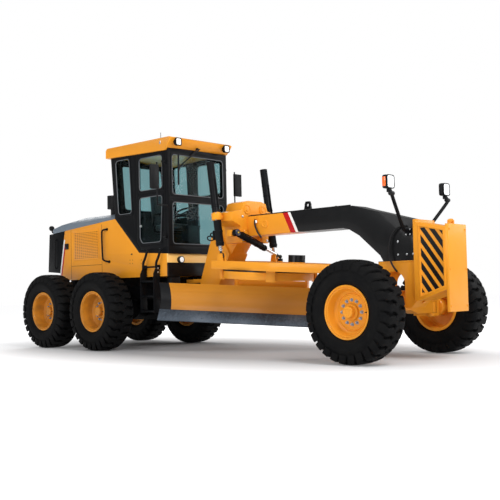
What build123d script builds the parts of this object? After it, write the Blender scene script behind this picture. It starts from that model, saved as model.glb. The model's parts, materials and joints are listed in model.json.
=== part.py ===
# Motor grader: articulated six-wheel road grader with a rotating blade, in millimetres.
# x runs forward, y to the machine's left, z up. It is laid out from the middle of the rear
# tandem on the ground, and every piece is then moved so that the origin lies under the
# middle of the whole length and width.
from build123d import *
from math import atan2, cos, degrees, hypot, radians, sin, sqrt, tan
import os

# Driving dimensions
wheelbase = 6220           # tandem centre to front axle
tandem_spacing = 1538      # between the two rear wheels of a side
track = 2140               # between the tyre centres of an axle
front_overhang = 910       # front axle to push plate
rear_overhang = 1620       # tandem centre to tow hitch
hinge_x = 1980             # frame articulation pin

# Clearances
running = 0.05             # radial, pin in bore
seat_gap = 0.3             # between pieces that seat on each other
door_gap = 6               # round a door

# Wheels
tyre_r = 675
tyre_w = 445
tread_depth = 38
lug_count = 16             # each side
lug_w = 72                 # along the rim
lug_skew = 24              # degrees
bead_r = 322
rim_w = 360
rim_wall = 14
disc_wall = 22
hub_r = 130
spindle_r = 62

# Rear frame and tandem
rail_out = 430             # half width over the rails
rail_wall = 120
rail_bottom = 860
rail_top = 1100
rail_back = -1430
rail_front = 1620
case_in = 520              # tandem case, from the middle
case_out = 800
case_r = 215
axle_r = 150
boss_r = 120               # hinge boss
hinge_pin_r = 55
boss_bottom = 830
boss_top = 1120
ear_wall = 60
ear_gap = 6

# Hood and cab
body_half = 680            # half width of hood and cab
panel = 30                 # hood sheet and its folded edges
skirt_z = 1245
hood_back = -890
hood_back_lean = 200       # the rear joint leans out this much at the skirt
hood_rear_z = 2185
hood_front_z = 2290
hood_crown = 2410
crown_half = 500
grille_back = -1470
cab_wall = 60
cab_back = 590
cab_back_low = 690
cab_waist_z = 2300
cab_heel_x = 1360
cab_heel_z = 1665
cab_front = 2150
cab_floor_z = 1620
cab_top_z = 3400
roof_back = 480
roof_front = 2275
roof_half = 715
roof_t = 165
glass_t = 10
door_back = 1300
door_front = 2085
door_sill = 1715
door_head = 3375
door_t = 45

# Front frame
neck_half = 170
neck_top = 2155
neck_bottom = 1844
nose_x = 6600
leg_half = 210
ball_x = 5880
ball_z = 1120
ball_r = 62
axle_pin_z = 800
kingpin_y = 780
kingpin_arm = 250          # steering arm
kingpin_r = 30
block_half = 235

# Drawbar, circle and blade, laid out level and then pitched up at the ball
pitch = 3.8
circle_x = 3750
circle_z = 1010            # underside of the ring
ring_r = 720
ring_in = 600
ring_h = 140
ring_gap = 0.5             # between ring and drawbar
tooth_count = 48
tooth_h = 30
drawbar_h = 130
blade_turn = -60           # blade angle from straight across
blade_len = 3600
blade_top = 895
blade_curve = 430          # radius of the blade's face
blade_mid_z = 620          # height of the deepest point of the curve
blade_mid_x = -25
blade_low = 370            # lower edge of the curved plate
blade_wall = 22
edge_h = 200
edge_t = 20
arm_y = 600                # outside of the blade arms
arm_t = 40
tip_x = -205               # blade tip pin, from the circle's centre
tip_z = 440
tip_pin_r = 28
rail_half = 1350           # half length of the blade's slide rails
rail_h = 44
rail_d = 36
shoe_gap = 0.3

# Cylinders
lift_x = 3240
lift_y = 620
lift_z = 2150
lift_eye_x = 3330
lift_tube_r = 62
lift_rod_r = 32
lift_top = 880             # barrel above its trunnion
lift_low = 470             # barrel below its trunnion
trunnion_r = 38
shift_x = 3560
shift_y = -520
shift_z = 1880
shift_eye_y = 500
shift_tube_r = 46
shift_rod_r = 24
shift_tube = 640
lift_eye_z = 1530
shift_eye_z = 1520
eye_r = 48
eye_half = 20              # half width of an eye, between its ears
eye_gap = 0.5
ear_t = 20
neck_r = 18                # of a rod's end, between the ears
ball_end_r = 32            # centre-shift rod's ball, which stands on its post

mid_x = (wheelbase + front_overhang - rear_overhang) / 2
wheel_y = track / 2


def block(x0, x1, y0, y1, z0, z1):
    return Pos((x0 + x1) / 2, (y0 + y1) / 2, (z0 + z1) / 2) * Box(x1 - x0, y1 - y0, z1 - z0)


def side(points, y0, y1):
    """Outline of (x, z) points, from y0 to y1."""
    face = make_face(Polyline(*[(x, y0, z) for x, z in points], close=True))
    return extrude(face, amount=y1 - y0, dir=(0, 1, 0))


def plan(points, z0, z1):
    """Outline of (x, y) points, from z0 to z1."""
    face = make_face(Polyline(*[(x, y, z0) for x, y in points], close=True))
    return extrude(face, amount=z1 - z0, dir=(0, 0, 1))


def cross(points, x0, x1):
    """Outline of (y, z) points, from x0 to x1."""
    face = make_face(Polyline(*[(x0, y, z) for y, z in points], close=True))
    return extrude(face, amount=x1 - x0, dir=(1, 0, 0))


def bar(start, end, radius):
    start, end = Vector(*start), Vector(*end)
    base = Plane(origin=start, z_dir=end - start)
    return base * Cylinder(radius, (end - start).length, align=(Align.CENTER, Align.CENTER, Align.MIN))


def both(piece):
    """A piece and its mirror image on the other side."""
    return [piece, mirror(piece, about=Plane.XZ)]


def joined(pieces):
    total = pieces[0]
    for piece in pieces[1:]:
        total = total + piece
    return total


def write(node, pieces):
    """One file for a node: a single solid, or solids that don't touch."""
    if not isinstance(pieces, (list, tuple)):
        pieces = [pieces]
    solids = [s for piece in pieces for s in piece.solids()]
    shape = solids[0] if len(solids) == 1 else Compound(children=solids)
    shape = Pos(-mid_x, 0, 0) * shape
    shape.label = node
    export_step(shape, f"parts/{node}.step")


os.makedirs("parts", exist_ok=True)


# Wheels: each is made at the origin with its axle along y and its outside towards +y
def make_tyre():
    half = tyre_w / 2
    bead = rim_w / 2 - rim_wall
    base = tyre_r - tread_depth
    outline = Polyline(
        (0, bead_r + seat_gap, seat_gap - bead), (0, bead_r + 32, seat_gap - bead), (0, bead_r + 38, -rim_w / 2),
        (0, bead_r + 80, 22 - half), (0, 480, -half + 6),
        (0, base - 75, -half + 14), (0, base - 12, -half + 60), (0, base, 0),
        (0, base - 12, half - 60), (0, base - 75, half - 14), (0, 480, half - 6),
        (0, bead_r + 80, half - 22), (0, bead_r + 38, rim_w / 2), (0, bead_r + 32, bead - seat_gap),
        (0, bead_r + seat_gap, bead - seat_gap), close=True)
    carcass = revolve(make_face(outline), axis=Axis.Z)
    # lug section as (along the axle, radius), from the middle to the shoulder
    section = [(-14, base - 30), (-14, tyre_r), (150, tyre_r - 4), (half - 14, tyre_r - 26),
               (half, tyre_r - 95), (half - 16, base - 95), (110, base - 30)]
    lug = extrude(make_face(Polyline(*[(-lug_w / 2, r, a) for a, r in section], close=True)),
                  amount=lug_w, dir=(1, 0, 0))
    lug = Rot(0, lug_skew, 0) * lug & Cylinder(tyre_r, tyre_w)
    other = mirror(lug, about=Plane.XY)
    step = 360 / lug_count
    lugs = []
    for n in range(lug_count):
        lugs.append(Rot(0, 0, n * step) * lug)
        lugs.append(Rot(0, 0, (n + 0.5) * step) * other)
    tyre = carcass.fuse(*lugs)
    return Rot(-90, 0, 0) * tyre


def make_rim(disc_at, hub_back):
    """Rim with its disc at a place along the axle, and its hub reaching in to hub_back."""
    inner = bead_r - rim_wall
    lip = bead_r + 28
    end = rim_w / 2
    bore = spindle_r + running
    blind = disc_at + 40
    profile = [(bore, hub_back), (hub_r, hub_back), (hub_r, disc_at - disc_wall), (inner, disc_at - disc_wall),
               (inner, -end), (lip, -end), (lip, rim_wall - end), (bead_r, rim_wall - end),
               (bead_r, end - rim_wall), (lip, end - rim_wall), (lip, end), (inner, end),
               (inner, disc_at), (hub_r + 60, disc_at), (hub_r, disc_at + 30), (hub_r - 20, blind + 40),
               (0, blind + 40), (0, blind), (bore, blind)]
    face = make_face(Polyline(*[(0, r, a) for r, a in profile], close=True))
    rim = revolve(face, axis=Axis.Z)
    return Rot(-90, 0, 0) * rim


tyre = make_tyre()
rims = {"rear": (make_rim(-40, case_out + 6 - wheel_y), -40), "front": (make_rim(60, 900 - wheel_y), 60)}
# wheel name, x of its axle, kind of rim
wheels = [("rear", -tandem_spacing / 2, "rear"), ("middle", tandem_spacing / 2, "rear"),
          ("front", wheelbase, "front")]
for name, x, kind in wheels:
    for hand, turn in (("left", 0), ("right", 180)):
        place = Pos(x, wheel_y if hand == "left" else -wheel_y, tyre_r) * Rot(0, 0, turn)
        write(f"tyre_{name}_{hand}", place * tyre)
        write(f"rim_{name}_{hand}", place * rims[kind][0])


def spindle(x, y0, kind):
    """Axle end that a rim turns on, on the left side."""
    return bar((x, y0, tyre_r), (x, wheel_y + rims[kind][1] + 35, tyre_r), spindle_r)


# Rear frame with its hinge boss, skirt brackets and tow hitch
rail = block(rail_back, rail_front, rail_out - rail_wall, rail_out, rail_bottom, rail_top)
frame = joined(both(rail))
for x in (rail_back, -120, 1480):
    frame += block(x, x + 140, rail_wall - rail_out, rail_out - rail_wall, rail_bottom + 20, rail_top - 20)
frame += block(rail_front - 200, hinge_x, -150, 150, boss_bottom, boss_top)
frame += Pos(hinge_x, 0, (boss_bottom + boss_top) / 2) * Cylinder(boss_r, boss_top - boss_bottom)
frame -= Pos(hinge_x, 0, 975) * Cylinder(hinge_pin_r + running, 400)
for x in (-700, 500, 1400):
    for piece in both(block(x, x + 100, rail_out - 20, body_half, rail_top - 60, skirt_z - seat_gap)):
        frame += piece
bumper = block(-rear_overhang + 90, rail_back, -560, 560, 820, 1130)
hitch = block(-rear_overhang, -rear_overhang + 90, -90, 90, 900, 1000)
hitch -= Pos(-rear_overhang + 42, 0, 950) * Cylinder(21, 120)
frame += bumper + hitch
write("rear_frame", frame)

# Rear axle and tandem cases
pad = block(-150, 150, rail_out - rail_wall, rail_out, tyre_r, rail_bottom - seat_gap)
axle = bar((0, -case_in + seat_gap, tyre_r), (0, case_in - seat_gap, tyre_r), axle_r)
for piece in both(pad):
    axle += piece
axle += bar((-240, 0, tyre_r), (240, 0, tyre_r), 190)
write("rear_axle", axle)
case_x = tandem_spacing / 2
case = block(-case_x, case_x, case_in, case_out, tyre_r - case_r, tyre_r + case_r)
for x in (-case_x, case_x):
    case += bar((x, case_in, tyre_r), (x, case_out, tyre_r), case_r) + spindle(x, case_out - 20, "rear")
write("tandem_cases", both(case))

# Engine
write("engine_block", block(-840, 300, -330, 330, rail_top + seat_gap, 1960))


# Hood: sheet sides under a bevelled crown, with louvres, and a grille box at the back
def hood_line(x):
    slope = (cab_waist_z - hood_rear_z) / (cab_back_low - hood_back)
    return hood_rear_z + (x - hood_back) * slope


skirt_back = hood_back - hood_back_lean
front_wall = cab_front - 30
outline = [(hood_back, hood_rear_z), (skirt_back, skirt_z), (front_wall, skirt_z),
           (front_wall, cab_floor_z - seat_gap), (cab_heel_x, cab_heel_z - seat_gap),
           (cab_back_low, cab_waist_z - seat_gap)]
hood = side(outline, -body_half, body_half)
hollow = side([(hood_back + panel, hood_crown), (hood_back + panel, hood_rear_z), (skirt_back + panel, skirt_z),
               (skirt_back + panel, skirt_z - 50), (front_wall - panel, skirt_z - 50),
               (front_wall - panel, hood_crown)], panel - body_half, body_half - panel)
hood -= hollow
for row in range(12):
    for x in (-540, -170):
        z = 1640 + row * 42
        hood -= block(x, x + 320, -body_half - 1, body_half + 1, z, z + 20)
write("hood_body", hood)

grille_low = 1385
grille_front = hood_back - hood_back_lean * (hood_rear_z - grille_low) / (hood_rear_z - skirt_z)
grille = side([(hood_back - seat_gap, hood_rear_z), (grille_back + 50, hood_line(grille_back + 50)),
               (grille_back, grille_low + 30), (grille_front - seat_gap, grille_low)], -body_half, body_half)
for row in range(9):
    z = 1480 + row * 66
    grille -= block(grille_back - 1, grille_back + 70, -560, 560, z, z + 34)
write("rear_grille", grille)

crown_back = grille_back + 180
crown = side([(crown_back, hood_line(crown_back) + seat_gap), (crown_back, 2240), (-470, hood_crown),
              (cab_back_low - 30, hood_crown), (cab_back_low - 30, hood_line(cab_back_low - 30) + seat_gap)],
             -body_half, body_half)
crown &= cross([(-body_half, 2000), (-body_half, 2300), (-crown_half, hood_crown + 1), (crown_half, hood_crown + 1),
                (body_half, 2300), (body_half, 2000)], crown_back - 1, cab_back_low)
write("hood_crown", crown)

cleaner = Pos(330, -430, hood_crown + seat_gap + 60) * Cylinder(60, 120)
cleaner += Pos(330, -430, hood_crown + seat_gap + 230) * Cylinder(120, 240)
write("pre_cleaner", cleaner)

# Cab frame: posts and walls with the windows and door openings cut
cab = side([(cab_back, cab_top_z), (cab_back_low, cab_waist_z), (cab_heel_x, cab_heel_z), (cab_front, cab_floor_z),
            (cab_front, cab_top_z)], -body_half, body_half)
floor_z = door_sill - door_gap
cab -= side([(cab_back + cab_wall, cab_top_z + 60), (cab_back_low + cab_wall, cab_waist_z + 25),
             (cab_heel_x + 25, floor_z), (cab_front - cab_wall, floor_z), (cab_front - cab_wall, cab_top_z + 60)],
            cab_wall - body_half, body_half - cab_wall)
door_outline = [(door_back, door_head), (door_front, door_head), (door_front, door_sill),
                (door_back + 120, door_sill), (door_back, door_sill + 135)]
opening = [(door_back - door_gap, door_head + door_gap), (door_front + door_gap, door_head + door_gap),
           (door_front + door_gap, door_sill - door_gap), (door_back + 117, door_sill - door_gap),
           (door_back - door_gap, door_sill + 133)]
quarter = [(700, 3350), (1140, 3350), (1200, 2340), (775, 2340)]
screen_y = body_half - cab_wall - 5
# windscreen panes as (bottom, top)
screens = [(1760, 2510), (2590, 3310)]
cab -= side(opening, -body_half - 1, body_half + 1)
cab -= side(quarter, -body_half - 1, body_half + 1)
for low, high in screens:
    cab -= block(cab_front - 100, cab_front + 1, -screen_y, screen_y, low, high)
cab -= block(cab_back - 20, cab_back_low + 100, -480, 480, 2450, 3300)
# hinge brackets on the front posts, at the height of each
hinge_y = body_half + 20
hinge_door_x = door_front + 10
door_hinges = (1900, 3150)
for z in door_hinges:
    ear = block(hinge_door_x - 6, hinge_door_x + 22, body_half - 1, hinge_y + 19, z - 30, z)
    ear += Pos(hinge_door_x, hinge_y, z - 15) * Cylinder(19, 30)
    ear -= Pos(hinge_door_x, hinge_y, z - 15) * Cylinder(10 + running, 31)
    for piece in both(ear):
        cab += piece
write("cab_frame", cab)

back_slope = (cab_back_low - cab_back) / (cab_top_z - cab_waist_z)
back_x = [cab_back_low - back_slope * (z - cab_waist_z) + 25 for z in (2450 + seat_gap, 3300 - seat_gap)]
glass = [side([(back_x[0], 2450 + seat_gap), (back_x[0] + glass_t, 2450 + seat_gap),
               (back_x[1] + glass_t, 3300 - seat_gap), (back_x[1], 3300 - seat_gap)], seat_gap - 480, 480 - seat_gap)]
for low, high in screens:
    glass.append(block(cab_front - 35, cab_front - 35 + glass_t, seat_gap - screen_y, screen_y - seat_gap,
                       low + seat_gap, high - seat_gap))
pane = side([(701, 3349.5), (1139.5, 3349.5), (1199.3, 2340.5), (775.7, 2340.5)], body_half - 35,
            body_half - 35 + glass_t)
glass += both(pane)
write("cab_glass", glass)

roof = side([(roof_back, cab_top_z + seat_gap), (roof_back, cab_top_z + 140), (roof_back + 30, cab_top_z + roof_t),
             (roof_front - 30, cab_top_z + roof_t), (roof_front, cab_top_z + 145), (roof_front - 115, cab_top_z + seat_gap)],
            -roof_half, roof_half)
write("cab_roof", roof)

# Doors, each on two hinge leaves at its front edge
door = side(door_outline, body_half - door_t, body_half)
# door windows
windows = [[(1370, 3310), (2025, 3310), (2025, 2700), (1370, 2700)],
           [(1370, 2630), (2025, 2630), (1965, 1800), (1440, 1800), (1370, 1900)]]
for window in windows:
    door -= side(window, body_half - door_t - 1, body_half + 1)
for z in door_hinges:
    leaf = block(door_front - 60, hinge_door_x, body_half + 2, hinge_y + 17, z + 1, z + 31)
    leaf += block(door_front - 60, door_front - 8, body_half - 1, hinge_y, z + 1, z + 31)
    leaf += Pos(hinge_door_x, hinge_y, z + 16) * Cylinder(18, 30)
    leaf += Pos(hinge_door_x, hinge_y, z - 10) * Cylinder(10, 40)
    door += leaf
door_panes = []
for window in windows:
    mid = (sum(p[0] for p in window) / len(window), sum(p[1] for p in window) / len(window))
    points = [(mid[0] + (x - mid[0]) * 0.9992, mid[1] + (z - mid[1]) * 0.9992) for x, z in window]
    door_panes.append(side(points, body_half - 28, body_half - 28 + glass_t))
write("door_left", door)
write("door_right", mirror(door, about=Plane.XZ))
write("door_glass_left", door_panes)
write("door_glass_right", [mirror(p, about=Plane.XZ) for p in door_panes])

# Seat and steering console
seat = block(1400, 1620, -150, 150, floor_z + seat_gap, 2060)
seat += block(1250, 1720, -250, 250, 2050, 2180)
seat += side([(1180, 2180), (1140, 2860), (1240, 2860), (1300, 2150)], -240, 240)
write("operator_seat", seat)
console = block(1860, 2020, -130, 130, floor_z + seat_gap, 2120)
console += bar((1930, 0, 2100), (1860, 0, 2380), 35)
console += Plane(origin=(1860, 0, 2380), z_dir=(-70, 0, 280)) * Torus(190, 16)
console += Plane(origin=(1860, 0, 2380), z_dir=(-70, 0, 280)) * Box(380, 40, 14)
write("steering_console", console)

# Lamps on the roof's front and under the cab, ladders, mirrors
lamp = bar((roof_front - 40, 560, 3482), (roof_front + 12, 560, 3482), 62)
lamp -= side([(roof_back, cab_top_z), (roof_back, cab_top_z + 200), (roof_front - 30, cab_top_z + 200),
              (roof_front + seat_gap, cab_top_z + 145), (roof_front - 115 + seat_gap, cab_top_z)], 400, roof_half)
work_lamp = bar((front_wall + seat_gap, 430, 1520), (front_wall + 60, 430, 1520), 55)
write("cab_lamps", both(lamp) + both(work_lamp))

ladder = []
for x in (1560, 1880):
    ladder.append(block(x, x + 40, body_half + 12, body_half + 60, 640, 1440))
    ladder.append(block(x, x + 40, body_half + seat_gap, body_half + 20, 1370, 1430))
for z in (650, 900, 1150):
    ladder.append(block(1570, 1900, body_half + 14, body_half + 58, z, z + 30))
write("ladders", both(joined(ladder)))

mirror_x = hinge_door_x + 38
mirror_arm = joined([bar((mirror_x, body_half + seat_gap, 2420), (mirror_x, 900, 2420), 12),
                     bar((mirror_x, 900, 2408), (mirror_x, 900, 3120), 12),
                     block(mirror_x - 10, mirror_x + 30, 880, 1050, 2680, 3080)])
write("mirrors", both(mirror_arm))

# Front frame: neck, rear leg, hinge ears, nose bracket and ball socket
front = side([(2690, 1893), (2850, 2110), (3300, neck_top), (5560, neck_top), (5730, 2105), (nose_x, 1870),
              (nose_x, 1335), (6070, 1335), (6020, 1420), (5670, 1720), (5490, 1820), (5390, neck_bottom),
              (3450, neck_bottom), (3250, 1760), (3090, 1570)], -neck_half, neck_half)
front += side([(2300, boss_bottom - ear_gap - ear_wall), (2400, 1159), (2690, 1893), (2900, 1893), (3090, 1570),
               (2860, 1136), (2740, boss_bottom - ear_gap - ear_wall)], -leg_half, leg_half)
for z in (boss_bottom - ear_gap - ear_wall, boss_top + ear_gap):
    front += block(hinge_x, 2500, -boss_r, boss_r, z, z + ear_wall)
    front += Pos(hinge_x, 0, z + ear_wall / 2) * Cylinder(boss_r, ear_wall)
front += Pos(hinge_x, 0, 975) * Cylinder(hinge_pin_r, 420)
nose = side([(5985, 1340), (nose_x, 1340), (nose_x, 790), (6500, 700), (5985, 700)], -neck_half, neck_half)
nose -= block(6060, 6410, -neck_half - 1, neck_half + 1, 600, 1020)
nose -= bar((6235, -neck_half - 1, 1020), (6235, neck_half + 1, 1020), 175)
nose -= bar((5900, 0, axle_pin_z), (6700, 0, axle_pin_z), 40 + running)
socket = block(ball_x - 15, 5990, -88, 88, ball_z - 88, ball_z + 88)
front += nose + socket
front -= Pos(ball_x, 0, ball_z) * Sphere(ball_r + running)
eye = side([(4520, neck_top - 1), (4560, 2310), (4640, 2310), (4680, neck_top - 1)], -15, 15)
eye -= bar((4600, -20, 2255), (4600, 20, 2255), 25)
front += eye
write("front_frame", front)

# Saddle that straddles the neck and carries the cylinders
saddle = cross([(-520, 2080), (-520, 2215), (-300, 2260), (-260, 2380), (-150, 2410), (150, 2410), (260, 2380),
                (300, 2260), (520, 2215), (520, 2080), (330, 2000), (300, 1740), (-300, 1740), (-330, 2000)],
               3120, 3480)
saddle += block(3400, 3500, -560, -290, 1830, 1930)
saddle -= block(3000, 3600, -neck_half - seat_gap, neck_half + seat_gap, 1500, neck_top + seat_gap)
saddle -= block(3000, 3125, -leg_half - seat_gap, leg_half + seat_gap, 1500, 1900)
for hand in (-1, 1):
    saddle -= bar((lift_x, hand * 521, lift_z), (lift_x, hand * 400, lift_z), trunnion_r + running)
saddle += bar((3490, shift_y, shift_z), (3610, shift_y, shift_z), 25)
write("saddle", saddle)

# Push block on the nose, with its plate and lifting eye
wedge = side([(nose_x + seat_gap, 1880), (6650, 1880), (6660, 1840), (7095, 1750), (7095, 940), (6660, 790),
              (nose_x + seat_gap, 790)], -block_half, block_half)
for piece in both(side([(6700, 1780), (7050, 1705), (7050, 985), (6700, 860)], block_half - 14, block_half + 1)):
    wedge -= piece
wedge += block(7085, wheelbase + front_overhang, -block_half, block_half, 645, 1790)
wedge += block(7020, 7060, -60, 60, 1740, 1850) - bar((7000, 0, 1815), (7080, 0, 1815), 20)
write("push_block", wedge)

# Front lamps on bent poles
pole = bar((6490, neck_half + 10, 1724), (6490, 300, 1760), 16) + bar((6490, 296, 1750), (6600, 700, 2170), 16)
pole += bar((6600, 700, 2160), (6550, 700, 2300), 16)
pole += block(6440, 6540, neck_half + seat_gap, neck_half + 12, 1670, 1770)
pole += block(6500, 6590, 615, 785, 2260, 2440)
write("front_lamps", both(pole))

# Front axle beam with its pin, knuckles and tie rod
beam_low, beam_high = tyre_r - 75, tyre_r + 85
beam = cross([(-690, beam_low), (-690, beam_high), (-300, 800), (-120, 930), (120, 930), (300, 800),
              (690, beam_high), (690, beam_low), (300, beam_low), (120, 660), (-120, 660), (-300, beam_low)],
             wheelbase - 90, wheelbase + 90)
beam += bar((6065, 0, axle_pin_z), (6405, 0, axle_pin_z), 105)
beam += bar((5990, 0, axle_pin_z), (6560, 0, axle_pin_z), 40)
king_eye_r = 72
for hand in (-1, 1):
    beam += block(wheelbase - 45, wheelbase + 45, min(hand * 680, hand * kingpin_y), max(hand * 680, hand * kingpin_y),
                  beam_low, beam_high)
    beam += Pos(wheelbase, hand * kingpin_y, (beam_low + beam_high) / 2) * Cylinder(king_eye_r, beam_high - beam_low)
    beam -= Pos(wheelbase, hand * kingpin_y, tyre_r) * Cylinder(kingpin_r + running, 400)
write("front_axle", beam)

lug_t = 40
lug_low, lug_high = beam_low - 6 - lug_t, beam_high + 6 + lug_t
knuckle = block(wheelbase - 70, wheelbase + 70, kingpin_y, 890, lug_low, lug_high)
knuckle += Pos(wheelbase, kingpin_y, (lug_low + lug_high) / 2) * Cylinder(70, lug_high - lug_low)
knuckle -= Pos(wheelbase, kingpin_y, tyre_r + 5) * Cylinder(king_eye_r + 6, beam_high - beam_low + 12)
knuckle += Pos(wheelbase, kingpin_y, (lug_low + lug_high) / 2) * Cylinder(kingpin_r, lug_high - lug_low)
knuckle += spindle(wheelbase, 880, "front")
knuckle += block(wheelbase - kingpin_arm, wheelbase - 40, kingpin_y - 40, kingpin_y + 40, lug_low, lug_low + lug_t)
knuckle += Pos(wheelbase - kingpin_arm, kingpin_y, lug_low + lug_t / 2) * Cylinder(40, lug_t)
knuckle -= Pos(wheelbase - kingpin_arm, kingpin_y, lug_low + lug_t / 2) * Cylinder(18 + running, 60)
write("knuckle_left", knuckle)
write("knuckle_right", mirror(knuckle, about=Plane.XZ))

rod_z = lug_low + lug_t + 32
tie = bar((wheelbase - kingpin_arm, -kingpin_y, rod_z), (wheelbase - kingpin_arm, kingpin_y, rod_z), 18)
for hand in (-1, 1):
    tie += Pos(wheelbase - kingpin_arm, hand * kingpin_y, rod_z - 5) * Cylinder(27, 53)
    tie += Pos(wheelbase - kingpin_arm, hand * kingpin_y, rod_z - 40) * Cylinder(18 if hand > 0 else 16, 60)
write("tie_rod", tie)


# Drawbar, circle and blade are laid out level, then pitched up about the ball
def pitched(piece):
    return Pos(ball_x, 0, ball_z) * Rot(0, pitch, 0) * Pos(-ball_x, 0, -ball_z) * piece


def on_circle(piece):
    """From the circle's own centre and the blade's own direction to the machine."""
    return pitched(Pos(circle_x, 0, 0) * Rot(0, 0, blade_turn) * piece)


draw_low = circle_z + ring_h + ring_gap
draw_high = draw_low + drawbar_h
half_plan = [(3060, 590), (3130, 662), (4300, 662), (4520, 580), (5720, 90), (5800, 55)]
drawbar = plan(half_plan + [(x, -y) for x, y in reversed(half_plan)], draw_low, draw_high)
drawbar -= plan([(4620, 370), (5380, 85), (5380, -85), (4620, -370)], draw_low - 1, draw_high + 1)
drawbar -= Pos(circle_x, 0, draw_low + 65) * Cylinder(480, drawbar_h + 2)
drawbar += bar((5740, 0, 1200), (ball_x, 0, ball_z), 40)
drawbar += Pos(ball_x, 0, ball_z) * Sphere(ball_r)
drawbar += Pos(4330, 0, draw_high + 60) * Cylinder(130, 122)
# shoes that hold the ring from outside and below
for turn in (45, 135, 225, 315):
    shoe = block(ring_r + 1.5, ring_r + 50, -70, 70, circle_z - 22, draw_low + 1)
    shoe += block(ring_r - 28, ring_r + 50, -70, 70, circle_z - 22, circle_z - 2)
    drawbar += Pos(circle_x, 0, 0) * Rot(0, 0, turn) * shoe
drawbar = pitched(drawbar)
for hand in (-1, 1):
    for y in (hand * lift_y - eye_half - eye_gap - ear_t, hand * lift_y + eye_half + eye_gap):
        drawbar += side([(lift_eye_x - 70, 1400), (lift_eye_x - 42, lift_eye_z + 36), (lift_eye_x + 42, lift_eye_z + 36),
                         (lift_eye_x + 70, 1400)], y, y + ear_t)
post_top = shift_eye_z - ball_end_r - eye_gap
drawbar += bar((shift_x, shift_eye_y, 1400), (shift_x, shift_eye_y, post_top), 42)
write("drawbar", drawbar)

# Circle: ring gear with teeth inside, and the two arms of the blade
outline = []
for n in range(tooth_count):
    for part, radius in ((0, ring_in), (0.3, ring_in), (0.45, ring_in - tooth_h), (0.8, ring_in - tooth_h)):
        turn = radians(360 * (n + part) / tooth_count)
        outline.append((radius * cos(turn), radius * sin(turn)))
ring = Pos(0, 0, circle_z + ring_h / 2) * Cylinder(ring_r, ring_h) - plan(outline, circle_z - 1, circle_z + ring_h + 1)
arm = side([(-330, circle_z + 5), (-150, circle_z + 5), (-150, tip_z + 30), (tip_x + 55, tip_z), (tip_x + 30, tip_z - 50),
            (tip_x - 40, tip_z - 50), (-310, 700)], arm_y - arm_t, arm_y)
for piece in both(arm):
    ring += piece
ring += block(-325, -275, 1 - arm_y, arm_y - 1, circle_z - 140, circle_z - 30)
ring -= bar((tip_x, -700, tip_z), (tip_x, 700, tip_z), tip_pin_r + running)
write("circle", on_circle(ring))


# Blade: a curved plate with slide rails on its back, in shoes on the tip carrier
def face_x(z, radius=blade_curve):
    return blade_mid_x + blade_curve - sqrt(radius ** 2 - (z - blade_mid_z) ** 2)


back_r = blade_curve + blade_wall
front_arc = ThreePointArc((face_x(blade_low), 0, blade_low), (blade_mid_x, 0, blade_mid_z),
                          (face_x(blade_top), 0, blade_top))
back_arc = ThreePointArc((face_x(blade_low, back_r), 0, blade_low), (blade_mid_x - blade_wall, 0, blade_mid_z),
                         (face_x(blade_top, back_r), 0, blade_top))
blade_face = make_face([front_arc, back_arc, Line(front_arc @ 0, back_arc @ 0), Line(front_arc @ 1, back_arc @ 1)])
blade = Pos(0, -blade_len / 2, 0) * extrude(blade_face, amount=blade_len, dir=(0, 1, 0))
rail_back_x = -95
# middle heights of the two slide rails
blade_rails = (512, 792)
for z in blade_rails:
    blade += block(rail_back_x, face_x(z) - 8, -rail_half, rail_half, z - rail_h / 2, z + rail_h / 2)
write("moldboard", on_circle(blade))

edge_top = blade_low + 85
slope = Vector(face_x(blade_low) - face_x(edge_top), 0, -85).normalized()
out = Vector(-slope.Z, 0, slope.X)
corner = Vector(face_x(edge_top), 0, edge_top) + out * seat_gap
edge_points = [corner, corner + slope * edge_h, corner + slope * edge_h + out * edge_t, corner + out * edge_t]
edge = side([(p.X, p.Z) for p in edge_points], -blade_len / 2, blade_len / 2)
write("cutting_edge", on_circle(edge))

plate_out = arm_y - arm_t - 5
carrier_plate = side([(tip_x - 50, tip_z - 50), (tip_x + 70, tip_z - 50), (-70, 480), (-62, 560), (-62, 740),
                      (-70, 850), (-120, 850), (-240, 600), (-255, 480)], plate_out - 50, plate_out)
for z in blade_rails:
    carrier_plate -= block(rail_back_x - shoe_gap, 0, 400, 700, z - rail_h / 2 - shoe_gap, z + rail_h / 2 + shoe_gap)
carrier = joined(both(carrier_plate)) + bar((tip_x, 1 - plate_out, tip_z), (tip_x, plate_out - 1, tip_z), 42)
carrier += block(-175, -115, 1 - plate_out, plate_out - 1, 640, 720)
for hand in (-1, 1):
    carrier += bar((tip_x, hand * (plate_out - 1), tip_z), (tip_x, hand * arm_y, tip_z), tip_pin_r)
write("blade_carrier", on_circle(carrier))


# Cylinders: barrel on its pivot, rod out to its eye
def barrel(pivot, eye, above, below, tube, rod):
    """Closed at the end above the pivot and bored from the other end."""
    way = (Vector(*eye) - Vector(*pivot)).normalized()
    top = Vector(*pivot) - way * above
    low = Vector(*pivot) + way * below
    tube_solid = bar(top, low, tube)
    return tube_solid - bar((top + way * 40), (low + way), rod + running)


def rod_shaft(pivot, eye, above, reach, rod):
    """Rod from inside its barrel to the narrow neck at its eye."""
    way = (Vector(*eye) - Vector(*pivot)).normalized()
    start = Vector(*pivot) - way * (above - 40 - reach)
    neck = Vector(*eye) - way * 80
    return bar(start, neck, rod) + bar(neck - way * 5, eye, neck_r)


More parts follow.
